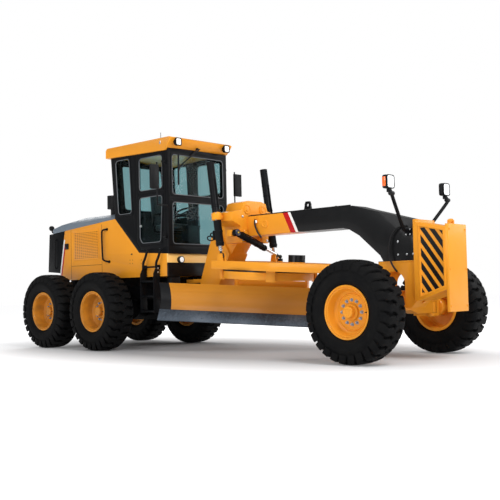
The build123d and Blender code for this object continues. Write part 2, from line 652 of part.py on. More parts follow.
for hand, name in ((1, "left"), (-1, "right")):
    pivot, eye = (lift_x, hand * lift_y, lift_z), (lift_eye_x, hand * lift_y, lift_eye_z)
    lift = barrel(pivot, eye, lift_top, lift_low, lift_tube_r, lift_rod_r)
    pin = bar((lift_x, hand * (lift_y - 55), lift_z), (lift_x, hand * 430, lift_z), trunnion_r)
    collar = bar((lift_x - 6, hand * lift_y, lift_z + 50), (lift_x + 6, hand * lift_y, lift_z - 50), 82)
    collar -= bar((lift_x - 20, hand * lift_y, lift_z + 160), (lift_x + 20, hand * lift_y, lift_z - 160), 50)
    write(f"lift_barrel_{name}", lift + pin + collar)
    ring_eye = bar((lift_eye_x, hand * lift_y - eye_half, lift_eye_z), (lift_eye_x, hand * lift_y + eye_half, lift_eye_z),
                   eye_r)
    write(f"lift_rod_{name}", rod_shaft(pivot, eye, lift_top, 60, lift_rod_r) + ring_eye)

pivot, eye = (shift_x, shift_y, shift_z), (shift_x, shift_eye_y, shift_eye_z)
way = (Vector(*eye) - Vector(*pivot)).normalized()
mouth = Vector(*pivot) + way * 60
shift = barrel(mouth, eye, 0, shift_tube, shift_tube_r, shift_rod_r)
head = bar((shift_x - 30, shift_y, shift_z), (shift_x + 30, shift_y, shift_z), 55)
head += bar((Vector(*pivot) + way * 30), (mouth + way * 5), 34)
head -= bar((shift_x - 31, shift_y, shift_z), (shift_x + 31, shift_y, shift_z), 25 + running)
write("shift_barrel", shift + head)
shaft = rod_shaft(mouth, eye, -20, 0, shift_rod_r) + Pos(*eye) * Sphere(ball_end_r)
write("shift_rod", shaft)
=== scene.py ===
# Motor grader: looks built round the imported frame, in metres, x forward, y to the machine's left, z up.
import json
from math import cos, pi, radians, sin, tan

import bpy
from mathutils import Matrix, Vector

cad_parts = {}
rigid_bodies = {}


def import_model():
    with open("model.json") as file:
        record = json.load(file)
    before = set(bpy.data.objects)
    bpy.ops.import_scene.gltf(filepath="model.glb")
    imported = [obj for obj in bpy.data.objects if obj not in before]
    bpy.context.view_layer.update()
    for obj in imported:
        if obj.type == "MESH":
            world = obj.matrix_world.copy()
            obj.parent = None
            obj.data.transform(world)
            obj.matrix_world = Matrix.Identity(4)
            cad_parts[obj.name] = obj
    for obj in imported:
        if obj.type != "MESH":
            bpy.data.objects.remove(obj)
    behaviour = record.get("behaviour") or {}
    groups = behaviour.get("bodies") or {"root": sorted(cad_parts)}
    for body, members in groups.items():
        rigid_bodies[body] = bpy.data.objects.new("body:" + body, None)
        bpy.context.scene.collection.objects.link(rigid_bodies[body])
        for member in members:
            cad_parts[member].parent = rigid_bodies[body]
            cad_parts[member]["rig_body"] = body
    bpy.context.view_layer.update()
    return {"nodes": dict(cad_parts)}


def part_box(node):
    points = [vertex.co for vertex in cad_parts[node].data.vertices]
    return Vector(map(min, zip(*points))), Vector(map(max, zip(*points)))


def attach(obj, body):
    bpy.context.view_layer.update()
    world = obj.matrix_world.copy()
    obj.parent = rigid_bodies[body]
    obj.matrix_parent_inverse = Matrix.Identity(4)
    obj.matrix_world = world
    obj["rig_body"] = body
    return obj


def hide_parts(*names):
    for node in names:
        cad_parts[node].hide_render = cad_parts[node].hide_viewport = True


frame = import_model()
nodes = frame["nodes"]
print("frame loaded:", len(nodes), "nodes")


def deselect():
    bpy.ops.object.select_all(action="DESELECT")


deselect()

# The camera stands low in front of the machine's right front wheel
camera = {
    "place": (9.780, -9.519, 0.997),
    "yaw": 0.73666,     # turned from +y towards -x
    "pitch": 0.04721,
    "roll": -0.02276,
    "lens": 58.82,
    "sensor": 36,
    "shift": -0.05,
}


# Sets the view and plain, uncompressed colours
def addCamera():
    yaw, pitch = camera["yaw"], camera["pitch"]
    ahead = Vector((-sin(yaw) * cos(pitch), cos(yaw) * cos(pitch), sin(pitch)))
    right = Vector((cos(yaw), sin(yaw), 0))
    up = right.cross(ahead)
    side = right * cos(camera["roll"]) + up * sin(camera["roll"])
    top = up * cos(camera["roll"]) - right * sin(camera["roll"])
    turn = Matrix((side, top, -ahead)).transposed()
    bpy.ops.object.camera_add(location=camera["place"], rotation=turn.to_euler())
    eye = bpy.context.object
    eye.data.lens = camera["lens"]
    eye.data.sensor_width = camera["sensor"]
    eye.data.shift_x = camera["shift"]
    bpy.context.scene.camera = eye
    bpy.context.scene.view_settings.view_transform = "Standard"


# Pale studio floor with a painted shadow round the machine, and soft light
studio = {
    "floorSize": 120.0,
    # painted shadow: the floor is darker and without glow near the machine and brightens away from it:
    # distance, colour and glow, near and far
    "floorShadow": (1.3, (0.46, 0.46, 0.47, 1), 0.0),
    "floorFar": (3.9, (0.85, 0.85, 0.86, 1), 0.66),
    "floorShort": 0.45,         # of the lengthways distance
    "lightStrength": 0.38,      # of the world's light on the machine
    "backdrop": 1.0,            # of the world as the camera sees it
    # name, place, target, size, power
    "lamps": [
        ("keyLight", (10.0, -3.0, 9.0), (0.5, 0.0, 1.0), 5.0, 880),
        ("sideLight", (1.0, -11.0, 7.0), (-0.5, 0.0, 1.2), 6.0, 470),
        ("fillLight", (7.0, 8.0, 6.0), (0.5, 0.0, 1.2), 6.0, 350),
        ("backLight", (-9.0, 4.0, 8.0), (-1.0, 0.0, 1.5), 6.0, 600),
    ],
}


def addStudio():
    bpy.ops.mesh.primitive_plane_add(size=studio["floorSize"], location=(0, 0, 0))
    floor = bpy.context.object
    floor.name = "floor"
    near, shadowColour, shadowGlow = studio["floorShadow"]
    far, farColour, farGlow = studio["floorFar"]
    paint = Finish("floorMat", colour=farColour, roughness=0.9, specular=0.1, glow=1.0)
    # the painted shadow: dark round the machine, white further off
    x, y, _ = paint.place()
    along = x * studio["floorShort"]
    square = along * along + y * y
    share = paint.span(square.root(), near, far)
    paint.feed("Base Color", paint.mix(share, shadowColour, farColour))
    paint.feed("Emission Color", paint.mix(share, (shadowGlow,) * 3 + (1,), (farGlow,) * 3 + (1,)))
    paint.on(floor)
    world = bpy.data.worlds.new("studioWorld")
    bpy.context.scene.world = world
    world.use_nodes = True
    tree = world.node_tree
    shade = tree.nodes["Background"]
    shade.inputs["Color"].default_value = (1, 1, 1, 1)
    path = tree.nodes.new("ShaderNodeLightPath")
    level = tree.nodes.new("ShaderNodeMapRange")
    level.inputs["To Min"].default_value = studio["lightStrength"]
    level.inputs["To Max"].default_value = studio["backdrop"]
    tree.links.new(path.outputs["Is Camera Ray"], level.inputs["Value"])
    tree.links.new(level.outputs["Result"], shade.inputs["Strength"])
    for name, place, target, size, power in studio["lamps"]:
        bpy.ops.object.light_add(type="AREA", location=place)
        lamp = bpy.context.object
        lamp.name = name
        lamp.data.size = size
        lamp.data.energy = power
        lamp.rotation_euler = (Vector(target) - Vector(place)).to_track_quat("-Z", "Y").to_euler()


# Shader maths: a wire is one output socket, and operators on wires add the nodes
class Wire:
    def __init__(self, finish, socket):
        self.finish = finish
        self.socket = socket

    def math(self, operation, first, second=None):
        inputs = {0: first} if second is None else {0: first, 1: second}
        return self.finish.node("ShaderNodeMath", {"operation": operation}, inputs)

    def __add__(self, other):
        return self.math("ADD", self, other)

    def __radd__(self, other):
        return self.math("ADD", other, self)

    def __sub__(self, other):
        return self.math("SUBTRACT", self, other)

    def __rsub__(self, other):
        return self.math("SUBTRACT", other, self)

    def __mul__(self, other):
        return self.math("MULTIPLY", self, other)

    def __rmul__(self, other):
        return self.math("MULTIPLY", other, self)

    def __truediv__(self, other):
        return self.math("DIVIDE", self, other)

    def __gt__(self, other):
        return self.math("GREATER_THAN", self, other)

    def __lt__(self, other):
        return self.math("LESS_THAN", self, other)

    def __abs__(self):
        return self.math("ABSOLUTE", self)

    def fraction(self):
        return self.math("FRACT", self)

    def root(self):
        return self.math("SQRT", self)


# A finish is one material
class Finish:
    def __init__(self, name, colour, roughness=0.5, metallic=0.0, coat=0.0, coatRoughness=0.1, specular=0.5,
                 sheen=0.0, glow=0.0, transmission=0.0):
        self.material = bpy.data.materials.new(name)
        self.material.use_nodes = True
        self.tree = self.material.node_tree
        self.shader = self.tree.nodes["Principled BSDF"]
        start = {"Base Color": colour, "Roughness": roughness, "Metallic": metallic, "Coat Weight": coat,
                 "Coat Roughness": coatRoughness, "Specular IOR Level": specular, "Sheen Weight": sheen,
                 "Emission Strength": glow, "Emission Color": colour, "Transmission Weight": transmission}
        for key, value in start.items():
            self.shader.inputs[key].default_value = value

    def node(self, kind, settings=None, inputs=None, output=0):
        made = self.tree.nodes.new(kind)
        for key, value in (settings or {}).items():
            if key == "stops":
                ramp = made.color_ramp
                while len(ramp.elements) < len(value):
                    ramp.elements.new(0.5)
                for element, (place, shade) in zip(ramp.elements, value):
                    element.position = place
                    element.color = shade
            else:
                setattr(made, key, value)
        for key, value in (inputs or {}).items():
            if isinstance(value, Wire):
                self.tree.links.new(value.socket, made.inputs[key])
            else:
                made.inputs[key].default_value = value
        return Wire(self, made.outputs[output])

    def spot(self):
        return self.node("ShaderNodeTexCoord", output="Object")

    # the position in metres, as wires x, y and z
    def place(self):
        split = self.node("ShaderNodeSeparateXYZ", inputs={0: self.spot()})
        return [Wire(self, split.socket.node.outputs[n]) for n in range(3)]

    def noise(self, scale, detail=3.0, roughness=0.55):
        settings = {"Vector": self.spot(), "Scale": scale, "Detail": detail, "Roughness": roughness}
        return self.node("ShaderNodeTexNoise", inputs=settings)

    # the first colour where share is 0, the second where it is 1
    def mix(self, share, first, second):
        return self.node("ShaderNodeMix", {"data_type": "RGBA"}, {0: share, 6: first, 7: second}, output=2)

    def ramp(self, share, stops):
        return self.node("ShaderNodeValToRGB", {"stops": stops}, {0: share})

    # low to high of a value, spread over newLow to newHigh
    def span(self, value, low, high, newLow=0.0, newHigh=1.0):
        inputs = {0: value, 1: low, 2: high, 3: newLow, 4: newHigh}
        return self.node("ShaderNodeMapRange", {"clamp": True}, inputs)

    def bump(self, height, distance, strength=1.0):
        inputs = {"Height": height, "Distance": distance, "Strength": strength}
        self.feed("Normal", self.node("ShaderNodeBump", inputs=inputs))

    def feed(self, key, wire):
        self.tree.links.new(wire.socket, self.shader.inputs[key])

    def on(self, *pieces):
        for piece in pieces:
            piece.data.materials.clear()
            piece.data.materials.append(self.material)


# Finishes. Colours are linear.
paints = {
    "amber": (0.82, 0.325, 0.022, 1),
    "amberDeep": (0.70, 0.240, 0.012, 1),
    # the next colour is a painted highlight of the amber, for sunlit bands
    "amberHighlight": (0.95, 0.56, 0.17, 1),
    "black": (0.0035, 0.0038, 0.0045, 1),
    "charcoal": (0.0045, 0.0050, 0.0060, 1),
    "soot": (0.018, 0.017, 0.015, 1),
    "dust": (0.20, 0.13, 0.06, 1),
    "white": (0.80, 0.80, 0.78, 1),
    "red": (0.46, 0.004, 0.008, 1),
    "grey": (0.150, 0.185, 0.225, 1),
    "steel": (0.065, 0.082, 0.105, 1),
    "steelDark": (0.016, 0.020, 0.027, 1),
    "steelBright": (0.15, 0.17, 0.20, 1),
    "rubber": (0.0045, 0.0047, 0.0053, 1),
    "rubberDust": (0.015, 0.0145, 0.0135, 1),
    "chrome": (0.80, 0.81, 0.83, 1),
    "zinc": (0.55, 0.57, 0.58, 1),
    "nutBlue": (0.30, 0.36, 0.44, 1),
    "teal": (0.60, 0.86, 0.89, 1),
    "tealPale": (0.68, 0.90, 0.92, 1),
    "sealGrey": (0.13, 0.14, 0.15, 1),
    "liner": (0.16, 0.17, 0.17, 1),
    "lens": (0.90, 0.92, 0.93, 1),
    "orangeLens": (0.85, 0.13, 0.01, 1),
    "yellowDot": (0.80, 0.62, 0.02, 1),
    "capBlue": (0.012, 0.020, 0.050, 1),
    "iron": (0.020, 0.020, 0.021, 1),
    "cloth": (0.010, 0.010, 0.012, 1),
    "thread": (0.045, 0.046, 0.050, 1),
    "mirror": (0.70, 0.74, 0.78, 1),
}


# Sprayed enamel: fine orange peel, a little tone from place to place, dust towards the ground
def paintedMetal(name, pattern=None):
    roughness = 0.36
    finish = Finish(name, paints["amber"], roughness, coat=0.12, coatRoughness=0.08, specular=0.16)
    x, y, z = finish.place()
    tone = finish.noise(1.7, detail=2.0)
    base = finish.mix(tone * 0.5, paints["amber"], paints["amberDeep"])
    if pattern is not None:
        base = pattern(finish, base, x, y, z)
    grime = finish.noise(9.0, detail=5.0)
    low = finish.span(z, 0.25, 1.15, 1.0, 0.0)
    base = finish.mix(finish.span(grime * low, 0.30, 0.75, 0.0, 0.16), base, paints["dust"])
    finish.feed("Base Color", base)
    finish.feed("Roughness", finish.span(grime, 0.3, 0.8, roughness - 0.05, roughness + 0.14) + low * 0.08)
    finish.bump(finish.noise(620.0, detail=1.0), 0.0004, 0.12)
    return finish


def blackMetal(name, roughness=0.42, colour="charcoal", coat=0.04, dust=0.35, pattern=None):
    finish = Finish(name, colour=paints[colour], roughness=roughness, coat=coat, specular=0.08)
    x, y, z = finish.place()
    grime = finish.noise(7.0, detail=5.0)
    low = finish.span(z, 0.2, 1.3, 1.0, 0.15)
    base = finish.mix(finish.span(grime * low, 0.35, 0.8, 0.0, dust), paints[colour], paints["soot"])
    if pattern is not None:
        base = pattern(finish, base, x, y, z)
    finish.feed("Base Color", base)
    finish.feed("Roughness", finish.span(grime, 0.3, 0.8, roughness - 0.06, roughness + 0.16))
    finish.bump(finish.noise(480.0, detail=1.5), 0.0005, 0.15)
    return finish


# Where the neck's stripes and black begin, as x at the neck's top and bottom edges
neckPaint = {
    "top": 2.155,
    "bottom": 1.844,
    "startTop": 1.475,
    "startBottom": 1.630,
    "redWide": 0.105,
    "whiteWide": 0.050,
    "blackLow": 1.335,
}


def neckPattern(finish, base, x, y, z):
    lean = (neckPaint["startTop"] - neckPaint["startBottom"]) / (neckPaint["top"] - neckPaint["bottom"])
    along = x - (z - neckPaint["bottom"]) * lean - neckPaint["startBottom"]
    above = z > neckPaint["blackLow"]
    base = finish.mix((along > 0.0) * above, base, paints["red"])
    base = finish.mix((along > neckPaint["redWide"]) * above, base, paints["white"])
    return finish.mix((along > neckPaint["redWide"] + neckPaint["whiteWide"]) * above, base, paints["black"])


# The hood side's stripes stand beside the black rear housing, on a line that leans back towards the skirt
hoodPaint = {
    "top": (-3.642, 2.184),     # x and z of the line's ends
    "low": (-3.815, 1.385),
    "whiteWide": 0.040,
    "redWide": 0.045,
    "redTop": 1.93,
    "whiteTop": 2.02,
    "wallX": -0.665,            # the wall under the windscreen is ahead of this
    "wallZ": 1.470,
}


def hoodPattern(finish, base, x, y, z):
    (topX, topZ), (lowX, lowZ) = hoodPaint["top"], hoodPaint["low"]
    along = x - (z - lowZ) * ((topX - lowX) / (topZ - lowZ)) - lowX
    middle = hoodPaint["whiteWide"]
    white = (along < middle) * (z < hoodPaint["whiteTop"])
    red = (along > middle) * (along < middle + hoodPaint["redWide"]) * (z < hoodPaint["redTop"])
    base = finish.mix(white, base, paints["white"])
    base = finish.mix(red, base, paints["red"])
    # the wall under the windscreen: a sunlit band over black
    base = finish.mix((x > hoodPaint["wallX"]) * (z > hoodPaint["wallZ"]), base, paints["amberHighlight"])
    return finish.mix((x > hoodPaint["wallX"]) * (z < hoodPaint["wallZ"]), base, paints["black"])


# Rows of small cooling slots, painted: the darker amber in each slot is painted shade
slotPaint = {
    "x": -3.310,
    "z": 1.640,
    "pitchX": 0.0620,
    "pitchZ": 0.0290,
    "wide": 0.040,
    "high": 0.012,
    "columns": 12,
    "rows": 17,
    "shade": (0.20, 0.065, 0.006, 1),
}


def slotPattern(finish, base, x, y, z):
    pitchX, pitchZ = slotPaint["pitchX"], slotPaint["pitchZ"]
    across, up = (x - slotPaint["x"]) / pitchX, (z - slotPaint["z"]) / pitchZ
    columns, rows = float(slotPaint["columns"]), float(slotPaint["rows"])
    inside = (across > 0.0) * (across < columns) * (up > 0.0) * (up < rows)
    slot = (across.fraction() < slotPaint["wide"] / pitchX) * (up.fraction() < slotPaint["high"] / pitchZ)
    # each slot gets the painted shade
    return finish.mix(inside * slot, base, slotPaint["shade"])


# The drawbar and circle lie level on a plane pitched about the ball
drawPaint = {"ballX": 3.125, "rise": 0.0664, "top": 1.2925, "side": 0.560, "seam": (1.126, 1.176)}


def drawPattern(finish, base, x, y, z):
    level = z - (drawPaint["ballX"] - x) * drawPaint["rise"]
    return finish.mix((level > drawPaint["top"]) * (abs(y) < drawPaint["side"]), base, paints["black"])


def circlePattern(finish, base, x, y, z):
    level = z - (drawPaint["ballX"] - x) * drawPaint["rise"]
    low, high = drawPaint["seam"]
    return finish.mix((level > low) * (level < high), base, paints["black"])


# The yoke round each lift cylinder is amber, a band across its axis
liftPaint = {"pivot": (0.485, 2.150), "axis": (0.1437, -0.9896), "yoke": 0.063}


def liftPattern(finish, base, x, y, z):
    (pivotX, pivotZ), (axisX, axisZ) = liftPaint["pivot"], liftPaint["axis"]
    along = (x - pivotX) * axisX + (z - pivotZ) * axisZ
    return finish.mix(abs(along) < liftPaint["yoke"], base, paints["amber"])


# Warning bands on the recessed sides of the push block
blockPaint = {
    "x": (3.952, 4.290),
    "z": (0.90, 1.76),
    "sideY": (0.2175, 0.2215),      # the recessed face lies between these
    "pitch": 0.178,
    "wide": 0.105,
    "slope": 1.36,
}


def blockPattern(finish, base, x, y, z):
    (x0, x1), (z0, z1), (y0, y1) = blockPaint["x"], blockPaint["z"], blockPaint["sideY"]
    inside = (x > x0) * (x < x1) * (z > z0) * (z < z1) * (abs(y) > y0) * (abs(y) < y1)
    pitch = blockPaint["pitch"]
    band = ((z + x * blockPaint["slope"]) / pitch).fraction() < blockPaint["wide"] / pitch
    return finish.mix(inside * band, base, paints["black"])


# The blade is painted darker towards its edge, as painted shade with some dirt, and lighter along its top as
# a painted highlight; its right end plate is bare black
bladePaint = {
    "rim": 1.126,               # above this height: a painted highlight
    "shadedHeights": (0.70, 1.08),    # heights of the most and the least painted shade
    "shadeAndDirt": (0.40, 0.165, 0.030, 1),
    "centre": (0.995, 0.0),
    "along": (cos(radians(30)), sin(radians(30))),
    "end": -1.640,
}


def bladePattern(finish, base, x, y, z):
    (centreX, centreY), (alongX, alongY) = bladePaint["centre"], bladePaint["along"]
    along = (x - centreX) * alongX + (y - centreY) * alongY
    low, high = bladePaint["shadedHeights"]
    # painted shade with some dirt, darker towards the blade's foot
    base = finish.mix(finish.span(z, low, high, 0.75, 0.10), base, bladePaint["shadeAndDirt"])
    # painted highlight along the top
    base = finish.mix(z > bladePaint["rim"], base, paints["amberHighlight"])
    return finish.mix(along < bladePaint["end"], base, paints["charcoal"])


# Patches darker on the wheels behind the cab: partly dried mud, partly painted shade of their deep dishes
rimPaint = {"front": -1.0, "mudAndShade": (0.17, 0.075, 0.025, 1)}


def rimPattern(finish, base, x, y, z):
    share = finish.span(finish.noise(6.0, detail=4.0), 0.30, 0.75, 0.15, 0.70)
    # dried mud and painted shade, in patches on the rear wheels
    return finish.mix(share * (x < rimPaint["front"]), base, rimPaint["mudAndShade"])


def tyreRubber():
    finish = Finish("rubberMat", colour=paints["rubber"], roughness=0.66, specular=0.05)
    dust = finish.noise(6.0, detail=6.0, roughness=0.65)
    fine = finish.noise(90.0, detail=3.0)
    share = finish.span(dust + fine * 0.25, 0.45, 0.95, 0.0, 0.55)
    finish.feed("Base Color", finish.mix(share, paints["rubber"], paints["rubberDust"]))
    finish.feed("Roughness", finish.span(dust, 0.3, 0.8, 0.50, 0.76))
    finish.bump(fine + dust * 0.5, 0.0016, 0.30)
    return finish


# Tinted glazing that lets the light through
def glass():
    finish = Finish("glassMat", colour=paints["teal"], roughness=0.02, specular=0.55, transmission=1.0)
    finish.shader.inputs["IOR"].default_value = 1.12
    smear = finish.noise(2.3, detail=4.0)
    finish.feed("Roughness", finish.span(smear, 0.3, 0.8, 0.01, 0.06))
    finish.feed("Base Color", finish.mix(finish.span(smear, 0.3, 0.7), paints["teal"], paints["tealPale"]))
    return finish


# Chrome, black towards the rod's end, where a height or a distance to the side passes the mark
def chromeRod(name, low=None, beyond=None):
    finish = Finish(name, colour=paints["chrome"], roughness=0.12, metallic=1.0)
    _, y, z = finish.place()
    oil = finish.noise(14.0, detail=4.0)
    end = z < low if low is not None else y > beyond
    finish.feed("Base Color", finish.mix(end, paints["chrome"], paints["black"]))
    finish.feed("Metallic", 1.0 - end)
    finish.feed("Roughness", finish.span(oil, 0.35, 0.75, 0.08, 0.30) + end * 0.25)
    return finish


def wornSteel():
    finish = Finish("edgeSteelMat", colour=paints["steel"], roughness=0.42, metallic=0.65)
    scrape = finish.noise(30.0, detail=6.0, roughness=0.7)
    broad = finish.noise(2.5, detail=3.0)
    stops = [(0.30, paints["steelDark"]), (0.52, paints["steel"]), (0.75, paints["steelBright"])]
    finish.feed("Base Color", finish.ramp(scrape * 0.5 + broad * 0.5, stops))
    finish.feed("Roughness", finish.span(scrape, 0.3, 0.7, 0.30, 0.62))
    finish.bump(scrape, 0.0012, 0.25)
    return finish


def plastic(name, colour, roughness=0.5):
    finish = Finish(name, colour=paints[colour], roughness=roughness, specular=0.2)
    cloud = finish.noise(11.0, detail=4.0)
    finish.feed("Roughness", finish.span(cloud, 0.3, 0.75, roughness - 0.07, roughness + 0.10))
    finish.bump(finish.noise(900.0, detail=1.0), 0.0004, 0.3)
    return finish


def lampGlass(name, colour, glow):
    finish = Finish(name, colour=paints[colour], roughness=0.08, coat=0.8, coatRoughness=0.02, glow=glow)
    _, _, z = finish.place()
    flutes = (z * 55.0).fraction()
    finish.bump(abs(flutes - 0.5), 0.0015, 0.35)
    finish.feed("Roughness", finish.span(finish.noise(40.0), 0.3, 0.7, 0.05, 0.14))
    return finish


def seatCloth():
    finish = Finish("clothMat", colour=paints["cloth"], roughness=0.9, sheen=0.25)
    x, y, z = finish.place()
    weave = abs((x * 260.0).fraction() - 0.5) + abs((z * 260.0 + y * 260.0).fraction() - 0.5)
    finish.feed("Base Color", finish.mix(finish.span(weave, 0.2, 0.8), paints["cloth"], paints["thread"]))
    finish.bump(weave, 0.0010, 0.5)
    return finish


finishes = {
    "paint": paintedMetal("amberMat"),
    "neck": paintedMetal("neckMat", neckPattern),
    "hood": paintedMetal("hoodMat", hoodPattern),
    "slots": paintedMetal("slotsMat", slotPattern),
    "block": paintedMetal("blockMat", blockPattern),
    "drawbar": paintedMetal("drawbarMat", drawPattern),
    "circle": paintedMetal("circleMat", circlePattern),
    "lift": blackMetal("liftMat", pattern=liftPattern),
    "blade": paintedMetal("bladeMat", bladePattern),
    "rim": paintedMetal("rimMat", rimPattern),
    "black": blackMetal("blackMat"),
    "chassis": blackMetal("chassisMat", roughness=0.55, coat=0.0, dust=0.55),
    "grey": blackMetal("greyMat", roughness=0.40, colour="grey", dust=0.1),
    "engine": blackMetal("engineMat", roughness=0.6, colour="iron", coat=0.0, dust=0.6),
    "rubber": tyreRubber(),
    "glass": glass(),
    "chrome": chromeRod("liftRodMat", low=1.600),
    "chromeShift": chromeRod("shiftRodMat", beyond=0.395),
    "edge": wornSteel(),
    "plastic": plastic("plasticMat", "charcoal"),
    "seal": plastic("sealMat", "sealGrey", roughness=0.55),
    "zinc": Finish("zincMat", colour=paints["zinc"], roughness=0.32, metallic=0.9),
    "nut": Finish("nutMat", colour=paints["nutBlue"], roughness=0.36, metallic=0.5),
    "liner": plastic("linerMat", "liner", roughness=0.8),
    "nutDark": Finish("nutDarkMat", colour=paints["steel"], roughness=0.34, metallic=0.75),
    "cap": Finish("capMat", colour=paints["capBlue"], roughness=0.30, coat=0.4),
    "dot": Finish("dotMat", colour=paints["yellowDot"], roughness=0.45),
    "mirror": Finish("mirrorMat", colour=paints["mirror"], roughness=0.05, metallic=1.0),
    "hose": Finish("hoseMat", colour=paints["black"], roughness=0.50, specular=0.30),
    "lens": lampGlass("lensMat", "lens", 0.35),
    "orange": lampGlass("orangeMat", "orangeLens", 0.1),
    "red": lampGlass("redMat", "red", 0.05),
    "cloth": seatCloth(),
}
print("finishes made:", len(finishes))


mergeWithin = 0.00002


# Mesh tools. Each leaves its piece alone selected, at the origin, with its place in its mesh.
def only(piece):
    deselect()
    piece.select_set(True)
    bpy.context.view_layer.objects.active = piece


def edit(piece, pick="SELECT"):
    only(piece)
    bpy.ops.object.mode_set(mode="EDIT")
    bpy.ops.mesh.select_all(action=pick)


def leave():
    bpy.ops.object.mode_set(mode="OBJECT")


def settle(piece):
    only(piece)
    bpy.ops.object.transform_apply(location=True, rotation=True, scale=True)
    return piece


def modify(piece, kind, **settings):
    only(piece)
    added = piece.modifiers.new(kind.lower(), kind)
    for key, value in settings.items():
        setattr(added, key, value)
    bpy.ops.object.modifier_apply(modifier=added.name)
    return piece


# Rounds the sharp edges and shades what is flat as flat
def soften(piece, width, segments=2, angle=32):
    if width > 0:
        modify(piece, "BEVEL", width=width, segments=segments, limit_method="ANGLE",
               angle_limit=radians(angle), use_clamp_overlap=True, miter_outer="MITER_ARC",
               harden_normals=False)
    return smooth(piece, 38)


def smooth(piece, angle):
    only(piece)
    bpy.ops.object.shade_smooth_by_angle(angle=radians(angle))
    return piece


def clean(piece):
    edit(piece)
    bpy.ops.mesh.remove_doubles(threshold=mergeWithin)
    bpy.ops.mesh.normals_make_consistent(inside=False)
    leave()
    return piece


def joined(pieces, name):
    deselect()
    for piece in pieces:
        piece.select_set(True)
    bpy.context.view_layer.objects.active = pieces[0]
    if len(pieces) > 1:
        bpy.ops.object.join()
    whole = bpy.context.view_layer.objects.active
    whole.name = name
    whole.data.name = name
    return whole


# A copy with its own mesh, moved by a matrix
def copied(piece, name, matrix):
    twin = bpy.data.objects.new(name, piece.data.copy())
    bpy.context.scene.collection.objects.link(twin)
    twin.data.transform(matrix)
    if matrix.determinant() < 0:
        twin.data.flip_normals()
    return twin


mirrorY = Matrix.Diagonal((1, -1, 1, 1))


# Points given on the left side, there or mirrored to the right
def sided(points, hand):
    return [(x, hand * y, z) for x, y, z in points]


def box(low, high, soft=0.003, segments=2):
    low, high = Vector(low), Vector(high)
    bpy.ops.mesh.primitive_cube_add(size=1, location=(low + high) / 2, scale=high - low)
    return soften(settle(bpy.context.object), soft, segments)


# A box about a middle, by half of its size
def boxAt(middle, half, soft):
    return box(Vector(middle) - Vector(half), Vector(middle) + Vector(half), soft)


def sideBox(low, high, soft, hand):
    y0, y1 = sorted((hand * low[1], hand * high[1]))
    return box((low[0], y0, low[2]), (high[0], y1, high[2]), soft)


def rod(start, end, radius, soft=0.0, sides=20):
    start, end = Vector(start), Vector(end)
    turn = (end - start).to_track_quat("Z", "Y").to_euler()
    bpy.ops.mesh.primitive_cylinder_add(vertices=sides, radius=radius, depth=(end - start).length,
                                        location=(start + end) / 2, rotation=turn)
    return soften(settle(bpy.context.object), soft)


def sideRod(start, end, radius, soft, sides, hand):
    return rod(*sided((start, end), hand), radius, soft, sides)


# An outline of (radius, height) points spun round an axis
def turned(outline, place, axis, steps, shade=35):
    bpy.ops.mesh.primitive_circle_add(vertices=len(outline), radius=1)
    piece = bpy.context.object
    for vertex, (radius, height) in zip(piece.data.vertices, outline):
        vertex.co = (radius, 0, height)
    edit(piece)
    bpy.ops.mesh.spin(steps=steps, angle=2 * pi, center=(0, 0, 0), axis=(0, 0, 1))
    leave()
    smooth(clean(piece), shade)
    turn = Vector(axis).to_track_quat("Z", "Y").to_matrix().to_4x4()
    piece.data.transform(Matrix.Translation(place) @ turn)
    return piece


# A tube along points, round at its corners unless it is straight
def pipe(points, radius, sides=4, closed=False, straight=False):
    curve = bpy.data.curves.new("pipe", "CURVE")
    curve.dimensions = "3D"
    line = bpy.data.objects.new("pipe", curve)
    bpy.context.scene.collection.objects.link(line)
    spline = curve.splines.new("NURBS")
    spline.points.add(len(points) - 1)
    for point, spot in zip(spline.points, points):
        point.co = (*spot, 1)
    spline.order_u = 2 if straight else 3
    spline.use_endpoint_u = not closed
    spline.use_cyclic_u = closed
    spline.resolution_u = 6
    line.data.bevel_depth = radius
    line.data.bevel_resolution = sides
    line.data.use_fill_caps = True
    only(line)
    bpy.ops.object.convert(target="MESH")
    return smooth(settle(bpy.context.object), 40)


def give(piece, body, finish, name=None, replaces=()):
    if name:
        piece.name = name
        piece.data.name = name
    finishes[finish].on(piece)
    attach(piece, body)
    if replaces:
        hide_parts(*replaces)
    return piece


def gave(pieces, body, finish, name):
    return give(joined(pieces, name), body, finish, name)


# Corners of a flat outline made round, as more points
def roundOff(corners, radius, steps=5):
    points = []
    count = len(corners)
    for n in range(count):
        here = Vector(corners[n])
        before, after = Vector(corners[n - 1]) - here, Vector(corners[(n + 1) % count]) - here
        half = before.angle(after) / 2
        reach = radius / tan(half)
        centre = here + (before.normalized() + after.normalized()).normalized() * (radius / sin(half))
        first = here + before.normalized() * reach - centre
        last = here + after.normalized() * reach - centre
        for step in range(steps + 1):
            share = step / steps
            spoke = (first * (1 - share) + last * share).normalized() * radius
            points.append(tuple(centre + spoke))
    return points


# An outline moved outwards by a margin, or inwards where it is below zero
def grown(corners, margin):
    moved = []
    middle = sum((Vector(c) for c in corners), Vector((0, 0))) / len(corners)
    count = len(corners)
    for n in range(count):
        here = Vector(corners[n])
        sides = []
        for other in (corners[n - 1], corners[(n + 1) % count]):
            run = (Vector(other) - here).normalized()
            out = Vector((run.y, -run.x))
            if out.dot(here - middle) < 0:
                out = -out
            sides.append(out)
        half = (sides[0] + sides[1]).normalized()
        moved.append(tuple(here + half * (margin / max(0.3, half.dot(sides[0])))))
    return moved


# The corners of a rectangle, given two of them
def rectangle(low, high):
    (u0, v0), (u1, v1) = low, high
    return [(u0, v0), (u1, v0), (u1, v1), (u0, v1)]


# A loop across x, round an outline of (y, z) at a margin
def loopAt(x, corners, margin, radius):
    return [(x, *point) for point in roundOff(grown(corners, margin), radius)]


